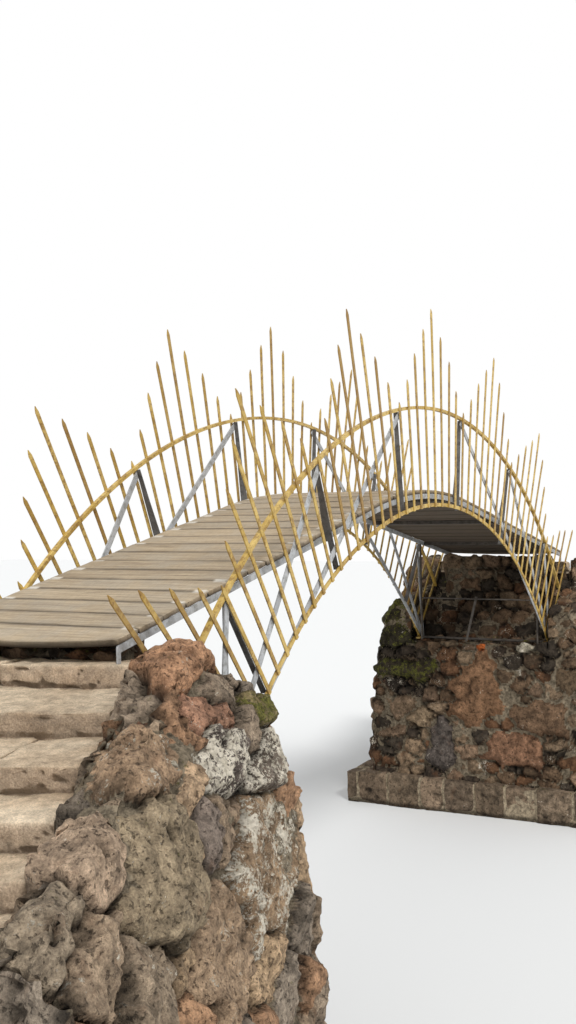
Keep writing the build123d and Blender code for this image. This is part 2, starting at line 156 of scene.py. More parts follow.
def shade(code):
    """A web colour such as #a08050 as the linear colour that shaders take, by the usual display curve."""
    values = [int(code[i:i + 2], 16) / 255 for i in (1, 3, 5)]
    return tuple(v / 12.92 if v <= 0.04045 else ((v + 0.055) / 1.055) ** 2.4 for v in values)


def between(share, low, high):
    """The value at a share of the way from low to high."""
    return low + (high - low) * share


def ramp(value, reach):
    """1 at zero and below, falling evenly to 0 at the reach."""
    return np.clip(1 - value / reach, 0, 1)


# Noise, as whole arrays

def lattice_value(cells, seed):
    """A fixed value from 0 to 1 for each cell: its three whole numbers and the seed, mixed bit by bit."""
    x, y, z = np.moveaxis(cells.astype(np.int64), -1, 0)
    mixed = ((x * 73856093) ^ (y * 19349663) ^ (z * 83492791) ^ (seed * 668265263)) & 0xFFFFFFFF
    for _ in range(2):
        mixed = ((mixed ^ (mixed >> 16)) * 0x45D9F3B) & 0xFFFFFFFF
    return ((mixed ^ (mixed >> 16)) & 0xFFFFFF) / 0xFFFFFF


def smooth_noise(points, size, seed):
    """Noise from -1 to 1: random values at the corners of a lattice, blended by the smooth step."""
    scaled = points / size
    base = np.floor(scaled).astype(np.int64)
    blend = scaled - base
    blend = blend * blend * (3 - 2 * blend)
    total = 0
    for corner in np.ndindex(2, 2, 2):
        corner = np.array(corner)
        weight = np.prod(np.where(corner, blend, 1 - blend), axis=-1)
        total = total + weight * lattice_value(base + corner, seed)
    return 2 * total - 1


def fractal(points, size, octaves, seed):
    """Layers of smooth noise, each half as large and half as strong as the one before."""
    shrink, seed_step = 2.03, 11
    return sum(smooth_noise(points, size / shrink**n, seed + seed_step * n) / 2**n for n in range(octaves))


def fractal_vector(points, size, octaves, seed):
    """Three independent layers of noise, as an offset for each point."""
    return np.stack([fractal(points, size, octaves, seed + 101 * n) for n in range(3)], axis=-1)


# Closed surfaces on grids

def carried_profile(corners, counts):
    """Grid of points from a corner loop at every station (stations, corners, 3).

    Each edge of the loop is divided evenly: point = corner + (next corner - corner) * share.
    """
    following = np.roll(corners, -1, axis=1)
    edges = []
    for n, count in enumerate(counts):
        share = (np.arange(count) / count)[None, :, None]
        start = corners[:, n:n + 1]
        edges.append(start + (following[:, n:n + 1] - start) * share)
    return np.concatenate(edges, axis=1)


def closed_skin(grid, side, top):
    """Points and quads of a tube of loops with both ends filled.

    The loop's four sides have side, top, side and top steps. Each end is a patch in which a point
    is the blend of the four border points in its row and column, less the blend of the corners.
    """
    rows, columns = grid.shape[:2]
    index = np.arange(rows * columns).reshape(rows, columns)
    wrapped = np.concatenate([index, index[:, :1]], axis=1)
    quads = [np.stack([wrapped[:-1, :-1], wrapped[:-1, 1:], wrapped[1:, 1:], wrapped[1:, :-1]], -1)]
    points = [grid.reshape(-1, 3)]
    up = (np.arange(side + 1) / side)[:, None, None]
    over = (np.arange(top + 1) / top)[None, :, None]
    taken = rows * columns
    for row, outward in ((0, False), (rows - 1, True)):
        loop, ring = grid[row], index[row]
        first = np.arange(side + 1)
        across = np.arange(top + 1)
        low_side, high_side = first, 2 * side + top - first
        end_side = side + across
        start_side = (2 * side + 2 * top - across) % columns
        patch = (1 - over) * loop[low_side][:, None] + over * loop[high_side][:, None]
        patch = patch + (1 - up) * loop[start_side][None] + up * loop[end_side][None]
        patch = patch - (1 - up) * ((1 - over) * loop[0] + over * loop[high_side[0]])
        patch = patch - up * ((1 - over) * loop[side] + over * loop[side + top])
        numbers = np.zeros((side + 1, top + 1), dtype=int)
        numbers[1:-1, 1:-1] = taken + np.arange((side - 1) * (top - 1)).reshape(side - 1, top - 1)
        numbers[:, 0], numbers[:, -1] = ring[low_side], ring[high_side]
        numbers[0], numbers[-1] = ring[start_side], ring[end_side]
        taken += (side - 1) * (top - 1)
        points.append(patch[1:-1, 1:-1].reshape(-1, 3))
        turn = [numbers[:-1, :-1], numbers[:-1, 1:], numbers[1:, 1:], numbers[1:, :-1]]
        quads.append(np.stack(turn[::-1] if outward else turn, -1))
    points = np.concatenate(points)
    quads = np.concatenate([patch.reshape(-1, 4) for patch in quads])
    a, b, c, d = (points[quads[:, n]] for n in range(4))
    volume = np.einsum("ij,ij->", np.cross(c - a, d - b), a + b + c + d)
    if volume < 0:
        quads = quads[:, ::-1]
    return points, quads


def outward_directions(points, quads, hidden):
    """Unit normals at the points, and which points lie only on hidden faces.

    A normal is the sum of the faces round its point, by their areas; a hidden face hardly counts.
    """
    tiny, hidden_pull = 1e-12, 1e-4
    a, b, c, d = (points[quads[:, n]] for n in range(4))
    faces = np.cross(c - a, d - b)
    middle = (a + b + c + d) / 4
    size = np.linalg.norm(faces, axis=1, keepdims=True) + tiny
    weight = np.where(hidden(middle, faces / size), 0.0, 1.0)
    open_sum = np.zeros(len(points))
    total = np.zeros_like(points)
    for n in range(4):
        open_sum += np.bincount(quads[:, n], weight, len(points))
        for axis in range(3):
            pull = faces[:, axis] * (weight + hidden_pull)
            total[:, axis] += np.bincount(quads[:, n], pull, len(points))
    return total / (np.linalg.norm(total, axis=1, keepdims=True) + tiny), open_sum == 0


def join(pieces):
    """Several (points, quads, attributes) pieces as one."""
    points, quads, attributes, taken = [], [], {}, 0
    for piece_points, piece_quads, piece_attributes in pieces:
        points.append(piece_points)
        quads.append(piece_quads + taken)
        taken += len(piece_points)
        for name, values in piece_attributes.items():
            attributes.setdefault(name, []).append(values)
    return (np.concatenate(points), np.concatenate(quads),
            {name: np.concatenate(values) for name, values in attributes.items()})


def add_piece(name, points, quads, attributes, material, replaced=(), crease=math.radians(50)):
    """A mesh object at the origin, with its attributes, that rides with the bridge.

    It is shaded smooth but for edges that turn by more than the crease.
    """
    mesh = bpy.data.meshes.new(name)
    mesh.vertices.add(len(points))
    mesh.vertices.foreach_set("co", np.ascontiguousarray(points, dtype=np.float32).ravel())
    mesh.loops.add(quads.size)
    mesh.loops.foreach_set("vertex_index", np.ascontiguousarray(quads, dtype=np.int32).ravel())
    mesh.polygons.add(len(quads))
    mesh.polygons.foreach_set("loop_start", np.arange(0, quads.size, 4, dtype=np.int32))
    mesh.update(calc_edges=True)
    mesh.validate()
    mesh.shade_smooth()
    mesh.set_sharp_from_angle(angle=crease)
    for key, values in attributes.items():
        if values.ndim == 1:
            layer = mesh.attributes.new(key, "FLOAT", "POINT")
            layer.data.foreach_set("value", values.astype(np.float32))
        else:
            layer = mesh.attributes.new(key, "FLOAT_VECTOR", "POINT")
            layer.data.foreach_set("vector", values.astype(np.float32).ravel())
    mesh.materials.append(material)
    piece = bpy.data.objects.new(name, mesh)
    bpy.context.scene.collection.objects.link(piece)
    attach(piece, BODY)
    if replaced:
        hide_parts(*replaced)
    return piece


# Shaders

class Shader:
    """A material under construction: each method adds a node and returns its output."""

    def __init__(self, name, roughness, specular):
        self.material = bpy.data.materials.new(name)
        self.material.use_nodes = True
        self.tree = self.material.node_tree
        self.surface = self.tree.nodes["Principled BSDF"]
        self.surface.inputs["Roughness"].default_value = roughness
        self.surface.inputs["Specular IOR Level"].default_value = specular

    def node(self, kind, inputs, output=0, **settings):
        node = self.tree.nodes.new(kind)
        for key, value in settings.items():
            setattr(node, key, value)
        for key, value in inputs.items():
            if isinstance(value, bpy.types.NodeSocket):
                self.tree.links.new(value, node.inputs[key])
            else:
                node.inputs[key].default_value = value
        return node.outputs[output]

    def place(self):
        return self.node("ShaderNodeTexCoord", {}, "Object")

    def attribute(self, name, output="Fac"):
        return self.node("ShaderNodeAttribute", {}, output, attribute_name=name)

    def stretch(self, vector, scale):
        return self.node("ShaderNodeMapping", {"Vector": vector, "Scale": scale})

    def noise(self, vector, scale, detail=4.0, roughness=0.55, output=0):
        """Output 0 is the noise itself, from about 0.3 to 0.7, and output 1 is three of them as a colour."""
        inputs = {"Vector": vector, "Scale": scale, "Detail": detail, "Roughness": roughness}
        return self.node("ShaderNodeTexNoise", inputs, output)

    def maths(self, operation, a, b):
        return self.node("ShaderNodeMath", {0: a, 1: b}, operation=operation)

    def times(self, a, b):
        return self.maths("MULTIPLY", a, b)

    def plus(self, a, b):
        return self.maths("ADD", a, b)

    def less(self, a, b):
        return self.maths("SUBTRACT", a, b)

    def step(self, value, low, high, start=0.0, end=1.0):
        """Rises smoothly from start to end as the value goes from low to high."""
        inputs = {"Value": value, "From Min": low, "From Max": high, "To Min": start, "To Max": end}
        return self.node("ShaderNodeMapRange", inputs, interpolation_type="SMOOTHSTEP")

    def mix(self, share, a, b, blend="MIX"):
        """From colour a to colour b by the share; each is a socket or a fixed colour."""
        inputs = {0: share}
        for key, value in ((6, a), (7, b)):
            inputs[key] = value if isinstance(value, bpy.types.NodeSocket) else (*value, 1.0)
        return self.node("ShaderNodeMix", inputs, 2, data_type="RGBA", blend_type=blend)

    def brighten(self, colour, factor):
        """Multiplies a colour, a socket or a fixed one, by a grey factor."""
        grey = self.node("ShaderNodeCombineColor", {0: factor, 1: factor, 2: factor})
        return self.mix(1.0, colour, grey, "MULTIPLY")

    def mottle(self, colour, noise, dark, bright):
        """Darkens a colour where the noise is low and brightens it where the noise is high."""
        return self.brighten(colour, self.step(noise, 0.3, 0.7, dark, bright))

    def finish(self, colour, height, distance):
        """Sets the colour, and the relief by a height of which 1 stands for the distance in metres."""
        inputs = {"Height": height, "Distance": distance, "Strength": 1.0}
        normal = self.node("ShaderNodeBump", inputs)
        self.tree.links.new(colour, self.surface.inputs["Base Color"])
        self.tree.links.new(normal, self.surface.inputs["Normal"])
        return self.material


def stone_shader(name, settings, light=1.0, mortar_light=1.0):
    """Rock in each stone's own tint, pitted and mottled, with mortar, lichen, moss and dark joints, painted
    shade in the pits, and a painted shadow along the foot of the wall.

    Lichen and moss show where noise and the stone's own share of them add up to more than a limit.
    """
    rock = Shader(name, roughness=0.92, specular=0.18)
    place = rock.place()
    coarse = rock.noise(place, 2.7, 6.0, 0.6)
    middle = rock.noise(place, 11.0, 8.0, 0.68)
    fine = rock.noise(place, 65.0, 6.0, 0.75)
    pits = rock.step(rock.noise(place, 34.0, 4.0, 0.6), 0.57, 0.66)

    # Rock
    colour = rock.mottle(rock.attribute("tint", "Vector"), coarse, 0.86 * light, 1.52 * light)
    colour = rock.brighten(colour, rock.step(middle, 0.32, 0.68, 0.52, 1.42))
    colour = rock.mottle(colour, fine, 0.66, 1.32)
    rust = rock.step(rock.noise(place, 4.1, 7.0, 0.7), 0.55, 0.72)
    colour = rock.mix(rock.times(rust, 0.35), colour, settings.rust_stain)
    # Painted shade: the pits of the rock are darkened towards the pit-shade colour
    colour = rock.mix(rock.times(pits, 0.6), colour, settings.pit_shade_colour)

    # Mortar
    gravel = rock.step(rock.noise(place, 24.0, 6.0, 0.72), 0.36, 0.62, 0.5 * mortar_light, 1.2 * mortar_light)
    filled = rock.step(rock.attribute("mortar"), 0.3, 0.5)
    colour = rock.mix(filled, colour, rock.brighten(settings.mortar_colour, gravel))

    # Lichen, in crumbs that gather in broad patches
    patches = rock.times(rock.noise(place, 5.5, 5.0, 0.6), 0.9)
    crumbs = rock.plus(rock.noise(place, 44.0, 8.0, 0.8), patches)
    lichen = rock.step(rock.plus(crumbs, rock.times(rock.attribute("lichen"), 0.32)), 1.235, 1.265)
    shadow = rock.step(rock.noise(place, 20.0), 0.4, 0.7)
    colour = rock.mix(lichen, colour, rock.mix(shadow, settings.lichen_colour, settings.lichen_shadow))

    # Moss
    tufts = rock.plus(rock.noise(place, 14.0, 9.0, 0.75), rock.times(rock.attribute("moss"), 0.30))
    moss = rock.step(tufts, 0.72, 0.78, 0.0, 0.85)
    tips = rock.step(rock.noise(place, 60.0), 0.4, 0.6)
    colour = rock.mix(moss, colour, rock.mix(tips, settings.moss_colour, settings.moss_light))

    # Dark joints, darkened further as painted shade where the carved pits are, and a painted shadow along the
    # foot of the wall
    colour = rock.brighten(colour, rock.step(rock.attribute("joint"), 0.0, 1.0, 1.0, 0.16))
    level = rock.node("ShaderNodeSeparateXYZ", {0: place}, 2)
    # Painted shadow: the stone darkens to 0.30 of its colour below about 0.1 m, along the foot of the wall
    shadowed = rock.plus(level, rock.times(coarse, 0.10))
    colour = rock.brighten(colour, rock.step(shadowed, 0.08, 0.14, 0.30, 1.0))

    height = rock.less(rock.plus(middle, rock.times(fine, 0.4)), rock.times(pits, 0.4))
    return rock.finish(colour, rock.plus(height, rock.times(lichen, 0.10)), 0.05)


def step_shader(name, settings):
    """Worn sandstone: pale treads, darker and browner faces as painted shade, dirt in hollows and joints, and
    fine grit, with each course brightened as painted light.
    """
    slab = Shader(name, roughness=0.88, specular=0.2)
    place = slab.place()
    coarse = slab.noise(place, 1.9, 6.0, 0.6)
    middle = slab.noise(place, 9.0, 8.0, 0.68)
    fine = slab.noise(place, 95.0, 5.0, 0.7)
    joint = slab.attribute("joint")
    colour = slab.mix(slab.step(coarse, 0.35, 0.65), settings.step_colour, settings.step_shadow)
    colour = slab.mix(slab.times(slab.attribute("worn"), 0.7), colour, settings.step_worn)
    # Painted shade: the faces of the steps, below their treads, take the darker face colour
    colour = slab.mix(slab.times(slab.attribute("face"), 0.8), colour, settings.step_face_shade)
    colour = slab.mix(slab.times(slab.attribute("blue"), 0.8), colour, settings.step_blue)
    colour = slab.mottle(colour, middle, 0.68, 1.26)
    colour = slab.mottle(colour, fine, 0.72, 1.22)
    # Painted light: the tone brightens each course by its painted light, beside the block's random tone
    colour = slab.brighten(colour, slab.attribute("tone"))
    hollows = slab.plus(slab.noise(place, 6.0, 8.0, 0.7), slab.times(joint, 0.35))
    colour = slab.mix(slab.step(hollows, 0.64, 0.78, 0.0, 0.75), colour, settings.step_dirt)
    colour = slab.brighten(colour, slab.step(joint, 0.2, 1.0, 1.0, 0.5))
    return slab.finish(colour, slab.plus(middle, slab.times(fine, 0.25)), 0.032)


def wood_shader(name, settings):
    """Silvered planks: long fibres along each board, cracks, pale chipped spots, and painted shade: dark
    undersides, and edges darkened along the gaps between planks.

    The noise is stretched along the board, whose own coordinates are in the attribute grain.
    """
    wood = Shader(name, roughness=0.82, specular=0.25)
    grain = wood.attribute("grain", "Vector")
    sway = wood.stretch(wood.noise(grain, 2.2, 2.0, 0.5, output=1), (0.05, 0.0, 0.0))
    wavy = wood.node("ShaderNodeVectorMath", {0: grain, 1: sway}, operation="ADD")
    fibres = wood.noise(wood.stretch(wavy, (130.0, 3.0, 130.0)), 1.0, 7.0, 0.7)
    bands = wood.noise(wood.stretch(wavy, (34.0, 1.2, 34.0)), 1.0, 5.0, 0.65)
    cracks = wood.step(wood.noise(wood.stretch(wavy, (46.0, 0.9, 46.0)), 1.0, 5.0, 0.55), 0.66, 0.72)
    stains = wood.step(wood.noise(grain, 2.6, 6.0, 0.6), 0.4, 0.66)
    scratches = wood.noise(wood.stretch(grain, (14.0, 60.0, 14.0)), 1.0, 5.0, 0.7)
    colour = wood.mix(wood.step(bands, 0.32, 0.68), settings.plank_dark, settings.plank_light)
    colour = wood.mix(wood.times(stains, 0.55), colour, settings.plank_grey)
    colour = wood.brighten(colour, wood.step(fibres, 0.28, 0.72, 0.74, 1.2))
    colour = wood.mottle(colour, scratches, 0.90, 1.08)
    colour = wood.brighten(colour, wood.attribute("tone"))
    colour = wood.mix(wood.attribute("pale"), colour, settings.plank_pale)
    # Painted shade: the lower part of each plank takes the dark underside colour, for the shade under the
    # deck
    colour = wood.mix(wood.times(wood.attribute("under"), 0.85), colour, settings.plank_under_shade)
    colour = wood.mix(wood.times(cracks, 0.75), colour, settings.plank_crack)
    # Painted shade: each plank's edges darken to 0.35 of its colour, for the shade in the gaps between planks
    colour = wood.brighten(colour, wood.step(wood.attribute("edge"), 0.0, 1.0, 1.0, 0.35))
    return wood.finish(colour, wood.less(wood.times(fibres, 0.5), cracks), 0.006)


def paint_shader(name, body, light, stain, bare, wear, roughness):
    """Old paint: a body colour that lightens in patches, stains, and small worn spots down to bare metal."""
    paint = Shader(name, roughness, specular=0.4)
    place = paint.place()
    broad = paint.noise(place, 3.3, 5.0, 0.6)
    middle = paint.noise(place, 19.0, 6.0, 0.65)
    fine = paint.noise(place, 110.0, 4.0, 0.6)
    colour = paint.mix(paint.step(broad, 0.36, 0.64), body, light)
    colour = paint.mix(paint.times(paint.step(middle, 0.46, 0.62), 0.75), colour, stain)
    colour = paint.mix(paint.attribute("tone"), colour, stain)
    specks = paint.plus(paint.noise(place, 64.0, 5.0, 0.7), paint.times(middle, wear))
    spots = paint.step(specks, 0.80, 0.86, 0.0, 0.9)
    colour = paint.mix(spots, colour, bare)
    colour = paint.mottle(colour, fine, 0.9, 1.08)
    return paint.finish(colour, paint.less(paint.times(fine, 0.3), spots), 0.0025)


# Stones

class Stone(NamedTuple):
    """A listed stone: its middle and half sizes in metres, its tint, and three shares.

    The shares say how much lichen and moss it has, and how far it stands out.
    """

    centre: tuple
    half: tuple
    tint: str
    lichen: float
    moss: float
    lift: float


class Cut(NamedTuple):
    """How the stones of a wall are cut.

    The depth is in joint depths, the rounding of a stone's edge a share of its size, and the
    roughness, the depth of the mortar and the sway of the joints are in metres.
    """

    depth: float
    rounding: float
    rough: float
    mortar: float
    sway: float
    seed: int


class StoneBed:
    """Stones in space: a jittered lattice with listed stones in it.

    A stone is an ellipsoid, and a point belongs to the stone from whose centre it lies least,
    counted in that stone's own half sizes; a power above 2 squares the stones off. Listed
    stones push lattice stones away. The seam is how wide the mortar shows beside a joint.
    """

    HALF_SIZES = (0.396, 0.737)  # least and most, in pitches
    BRIGHTNESS = (0.85, 1.15)  # darkest and brightest, beside the stone's tint
    FACES = 4
    FACE_STEP = 0.3  # most that one face lies behind another, in stone sizes

    def __init__(self, pitch, tints, placed=(), seed=0, spread=0.36, power=2.0, slope=0.24, seam=0.0,
                 joint_width=0.03):
        self.pitch = np.array(pitch)
        self.power = power
        self.seam = seam
        self.joint_width = joint_width
        self.first = np.floor(np.array(cad_box[0]) / self.pitch).astype(int) - 1
        last = np.floor(np.array(cad_box[1]) / self.pitch).astype(int) + 2
        self.shape = last - self.first
        cells = np.indices(self.shape).reshape(3, -1).T + self.first

        def chance(number):
            return lattice_value(cells, seed + number)

        # Every other layer is moved on by half a pitch, like brickwork
        jitter = np.stack([chance(n) for n in range(3)], -1) - 0.5
        shift = 0.5 * (cells[:, 2:] % 2) * np.array([1, 1, 0])
        self.centres = (cells + 0.5 + shift + 2 * spread * jitter) * self.pitch
        self.halves = self.pitch * between(chance(3), *self.HALF_SIZES)[:, None]
        palette = np.array([shade(code) for code in tints])
        self.tints = palette[(chance(4) * len(palette)).astype(int) % len(palette)]
        self.tints = self.tints * between(chance(5), *self.BRIGHTNESS)[:, None]
        self.lift = 0.5 - chance(6)

        # More than half of the stones have no lichen, and nearly three quarters have no moss
        self.lichen = np.clip(chance(10) * 1.3 - 0.75, 0, 1)
        self.moss = np.clip(chance(11) * 1.3 - 0.95, 0, 1)

        self.placed = range(len(cells), len(cells) + len(placed))
        alive = np.ones(len(cells), dtype=bool)
        for stone in placed:
            alive &= self.measure(self.centres, np.array(stone.centre), np.array(stone.half)) > 1.0
        self.alive = np.append(alive, np.ones(len(placed), dtype=bool))
        if placed:
            self.centres = np.append(self.centres, [stone.centre for stone in placed], axis=0)
            self.halves = np.append(self.halves, [stone.half for stone in placed], axis=0)
            self.tints = np.append(self.tints, [shade(stone.tint) for stone in placed], axis=0)
            self.lichen = np.append(self.lichen, [stone.lichen for stone in placed])
            self.moss = np.append(self.moss, [stone.moss for stone in placed])
            self.lift = np.append(self.lift, [stone.lift for stone in placed])
        self.size = self.halves.mean(axis=1)
        dice = np.random.default_rng(seed)
        self.slopes = dice.normal(0, slope, size=(len(self.centres), self.FACES, 3))
        self.steps = dice.uniform(0.0, self.FACE_STEP, size=(len(self.centres), self.FACES))

    def measure(self, points, centres, halves):
        """Distance from the centres, counted in half sizes."""
        steps = np.abs((points - centres) / halves)
        return (steps**self.power).sum(axis=-1) ** (1 / self.power)

    def nearest(self, points):
        """Each point's own stone, and its distance from the border with the next one, in metres."""
        best = np.full(len(points), np.inf)
        second = np.full(len(points), np.inf)
        owner = np.zeros(len(points), dtype=int)
        other = np.zeros(len(points), dtype=int)
        cell = np.floor(points / self.pitch).astype(int) - self.first
        candidates = []
        for offset in np.ndindex(3, 3, 3):
            near = np.clip(cell + np.array(offset) - 1, 0, self.shape - 1)
            candidates.append((near[:, 0] * self.shape[1] + near[:, 1]) * self.shape[2] + near[:, 2])
        candidates += [np.full(len(points), number) for number in self.placed]
        for number in candidates:
            distance = self.measure(points, self.centres[number], self.halves[number])
            distance = np.where(self.alive[number] & (number != owner), distance, np.inf)
            closest = distance < best
            next_closest = ~closest & (distance < second)
            second = np.where(closest, best, np.where(next_closest, distance, second))
            other = np.where(closest, owner, np.where(next_closest, number, other))
            owner = np.where(closest, number, owner)
            best = np.where(closest, distance, best)
        span = self.size[owner] * self.size[other] / (self.size[owner] + self.size[other])
        return owner, (second - best) * span


def carve(points, quads, hidden, bed, cut, joint_depth, side=0):
    """Turns a plain skin into stonework, by moving each point along its outward direction.

    A stone's face is the lowest of four leaning planes of its own, so that it looks broken from a
    larger block; it drops to the joint by the cube of the way there. Layers of noise add swells,
    folds and pits; mortar is the level below which nothing sinks. On a wall that stands on one side
    of the bridge, faces that look to the middle stay in line with the way between the walls.
    """
    largest_size, shallowest, sunk, mortar_edge, looking_in, tiny = 0.45, 0.35, 0.004, 0.006, -0.25, 1e-6
    directions, buried = outward_directions(points, quads, hidden)
    owner, border = bed.nearest(points + cut.sway * fractal_vector(points, 0.16, 3, cut.seed + 5))
    size = np.minimum(bed.size[owner], largest_size)

    # The broken faces, and their fall to the joints
    fall = ramp(border, cut.rounding * size) ** 3
    depth = cut.depth * joint_depth * (shallowest + size)
    planes = np.einsum("ijk,ik->ij", bed.slopes[owner], points - bed.centres[owner])
    face = (planes + bed.steps[owner] * size[:, None]).min(axis=1) + 0.5 * bed.lift[owner] * depth
    height = np.clip(face, -0.35 * depth, 0.4 * depth) - depth * fall

    # Swells, folds, grain and pits, weaker in the joints
    swell = fractal(points, 0.34, 2, cut.seed + 50)
    folds = 0.32 - np.abs(fractal(points, 0.19, 4, cut.seed + 70))
    grain = fractal(points, 0.055, 2, cut.seed + 80)
    pits = np.clip(fractal(points, 0.10, 3, cut.seed + 90) - 0.34, 0, 1)
    relief = 0.4 * swell + 0.8 * folds + 0.3 * grain - 1.5 * pits
    height += cut.rough * relief * (1 - 0.65 * fall)

    # Mortar, and the faces that other pieces cover or that line the way
    patches = np.clip(1 + 0.9 * fractal(points, 0.75, 2, cut.seed + 120), 0.65, 1.8)
    level = -cut.mortar * (patches + 0.3 * fractal(points, 0.09, 3, cut.seed + 130))
    filled = np.clip((level - height) / mortar_edge, 0, 1)
    filled = np.maximum(filled, ramp(border, bed.seam + tiny))
    height = np.maximum(height, level)
    height = np.where(buried, np.minimum(height, 0) - sunk, height)
    inward = directions[:, 1] * side < looking_in
    height = np.where(inward, np.minimum(height, -sunk), height)

    joint = ramp(border, bed.joint_width) ** 1.4 * (1 - 0.6 * np.clip(2 * filled, 0, 1))
    facing_up = np.clip(directions[:, 2], 0, 1)
    lichen = bed.lichen[owner]
    attributes = {
        "tint": bed.tints[owner],
        # Painted shade: the carved pits join the dark joints, so that the shader darkens them as shade in the
        # hollows
        "joint": np.clip(joint + pits * (1 - joint), 0, 1),
        "mortar": filled,
        "lichen": lichen,
        "moss": np.clip(bed.moss[owner] + 0.35 * facing_up, 0, 1) * (1 - 0.5 * lichen),
    }
    return points + directions * height[:, None], attributes


# Boulders of the near right wing wall, from its crest down
NEAR_BOULDERS = [Stone(*row) for row in (
    ((-5.40, -1.36, 3.53), (0.42, 0.36, 0.15), "#a17b5e", 0.25, 0.0, 0.6),
    ((-5.56, -1.62, 3.27), (0.47, 0.30, 0.13), "#94705a", 0.35, 0.0, 0.3),
    ((-4.62, -1.50, 3.10), (0.34, 0.30, 0.13), "#7a6c4c", 0.2, 1.0, 0.2),
    ((-5.60, -1.74, 2.99), (0.43, 0.34, 0.21), "#6b6058", 1.0, 0.0, 0.6),
    ((-4.80, -1.64, 2.83), (0.42, 0.34, 0.21), "#75695d", 1.0, 0.0, 0.5),
    ((-6.52, -1.84, 3.20), (0.40, 0.32, 0.17), "#907860", 0.45, 0.1, 0.6),
    ((-6.70, -2.13, 2.76), (0.47, 0.34, 0.34), "#8d7d66", 0.25, 0.25, 0.6),
    ((-7.26, -2.06, 3.04), (0.26, 0.34, 0.20), "#b09880", 0.3, 0.0, 0.5),
    ((-6.10, -1.93, 2.78), (0.15, 0.22, 0.26), "#7a6d62", 0.2, 0.1, 0.1),
    ((-5.10, -1.78, 2.18), (0.78, 0.42, 0.48), "#9a8166", 0.85, 0.15, 0.6),
    ((-7.80, -2.30, 2.86), (0.26, 0.26, 0.15), "#8a7b68", 0.3, 0.1, 0.0),
    ((-6.20, -2.05, 2.02), (0.48, 0.36, 0.36), "#978068", 0.3, 0.1, 0.3),
    ((-7.20, -2.33, 2.30), (0.40, 0.36, 0.30), "#8f7e6a", 0.3, 0.1, 0.3),
)]

# Stones that stand out in the far wall; their tints are their own colours set darker, as painted shade for
# the shade the wall stands in
FAR_STONES = [Stone(*row) for row in (
    ((4.00, 0.04, 1.68), (0.30, 0.44, 0.52), "#84644a", 0.1, 0.0, 0.9),
    ((3.95, 0.55, 0.88), (0.30, 0.23, 0.38), "#544c46", 0.2, 0.0, 0.5),
    ((3.96, -0.54, 0.93), (0.30, 0.46, 0.25), "#8b6850", 0.2, 0.0, 0.5),
    ((3.98, -0.93, 1.42), (0.30, 0.42, 0.26), "#735b46", 0.2, 0.1, 0.5),
    ((4.02, 1.12, 1.98), (0.30, 0.46, 0.17), "#3a3327", 0.1, 0.8, 0.7),
    ((4.10, 1.30, 2.45), (0.40, 0.34, 0.22), "#332e22", 0.1, 0.7, 0.4),
    ((4.20, 1.50, 2.85), (0.50, 0.40, 0.26), "#3a3426", 0.1, 0.7, 0.4),
    ((4.04, -0.03, 2.38), (0.10, 0.07, 0.05), "#b5602f", 0.0, 0.0, 0.2),
    ((4.04, -0.68, 2.36), (0.10, 0.12, 0.08), "#a99f8a", 0.6, 0.0, 0.2),
    ((4.00, 1.22, 1.42), (0.25, 0.26, 0.15), "#7d6853", 0.2, 0.0, 0.2),
    ((3.98, 0.88, 1.30), (0.25, 0.20, 0.13), "#88745c", 0.3, 0.1, 0.2),
    ((4.00, -1.32, 1.95), (0.25, 0.30, 0.20), "#6b5945", 0.1, 0.2, 0.3),
)]

LAVA_TINTS = ("#97836d", "#8a7a68", "#a38a6f", "#7d7163", "#a68d70", "#9c7a5e")
# Tints of the rubble: the stone's own colours set darker, as painted shade for the shade of the far wall
SHADED_RUBBLE_TINTS = ("#6d5844", "#564636", "#463c32", "#7a6450", "#3f372e", "#806c56", "#6b4e38")
BLOCK_TINTS = ("#7b6a57", "#85725e", "#6d5e4e", "#8f7c67")

# The steps: how bright each course is, from the sill stone down, as painted light: the sill stone is
# lightened against the shadow of the deck above it, and the lower courses for the light that falls on them;
# how far a slab reaches under the next tread, and the two blocks of a sill stone, each by its ends as shares
# of the turn and a seed
COURSE_PAINTED_LIGHT = (1.45, 1.05, 1.2, 1.22, 1.22, 1.22)
SLAB_REACH = 0.028
SLAB_THICKNESS = riser + SLAB_REACH
SILL_BLOCKS = ((-0.995, -0.02, 3), (0.0, 0.995, 4))

BOULDER_CUT = Cut(depth=1.1, rounding=0.20, rough=0.050, mortar=0.105, sway=0.060, seed=7)
RUBBLE_CUT = Cut(depth=1.25, rounding=0.34, rough=0.024, mortar=0.068, sway=0.030, seed=3)
BLOCK_CUT = Cut(depth=0.5, rounding=0.12, rough=0.012, mortar=0.010, sway=0.014, seed=9)

# Grid spacings of the steps, and of masonry that is seen from afar or little of
STEP_SPACINGS = {"near": 0.022, "far": 0.036}
NEAR_LEFT_SPACING = 0.030
NEAR_ABUTMENT_SPACING = 0.042
FOOTING_SPACING = 0.024
CORE_SPACING = 0.05

# A face looks along an axis if its unit normal has more than this share along it
LOOKING = 0.7


def stair_half_width(x):
    """Half width between the wing walls: level, then widening evenly from the turn to the foot."""
    return wing_inner + np.clip(x - flare_start, 0, None) * flare_slope


def fan_turn(radius):
    """Angle at which an arc of the fan meets a wing wall: the level stretch first, then the flare."""
    level = np.arcsin(np.clip(wing_inner / radius, -1, 1))
    lean = math.atan(flare_slope)
    apex = flare_start - wing_inner / flare_slope
    flared = lean + np.arcsin(math.sin(lean) * (fan_centre - apex) / radius)
    return np.where(fan_centre + radius * np.cos(level) < flare_start, level, flared)


def fan_place(radius, share):
    """Place along the bridge and across it of a point of the fan, by its radius and its share of the turn."""
    turn = share * fan_turn(radius)
    return fan_centre + radius * np.cos(turn), radius * np.sin(turn)


def eased(values, reach):
    """Moving average of an evenly spaced row, with its end values kept beyond the ends."""
    padded = np.pad(values, reach, mode="edge")
    window = np.ones(2 * reach + 1) / (2 * reach + 1)
    return np.convolve(padded, window, mode="valid")


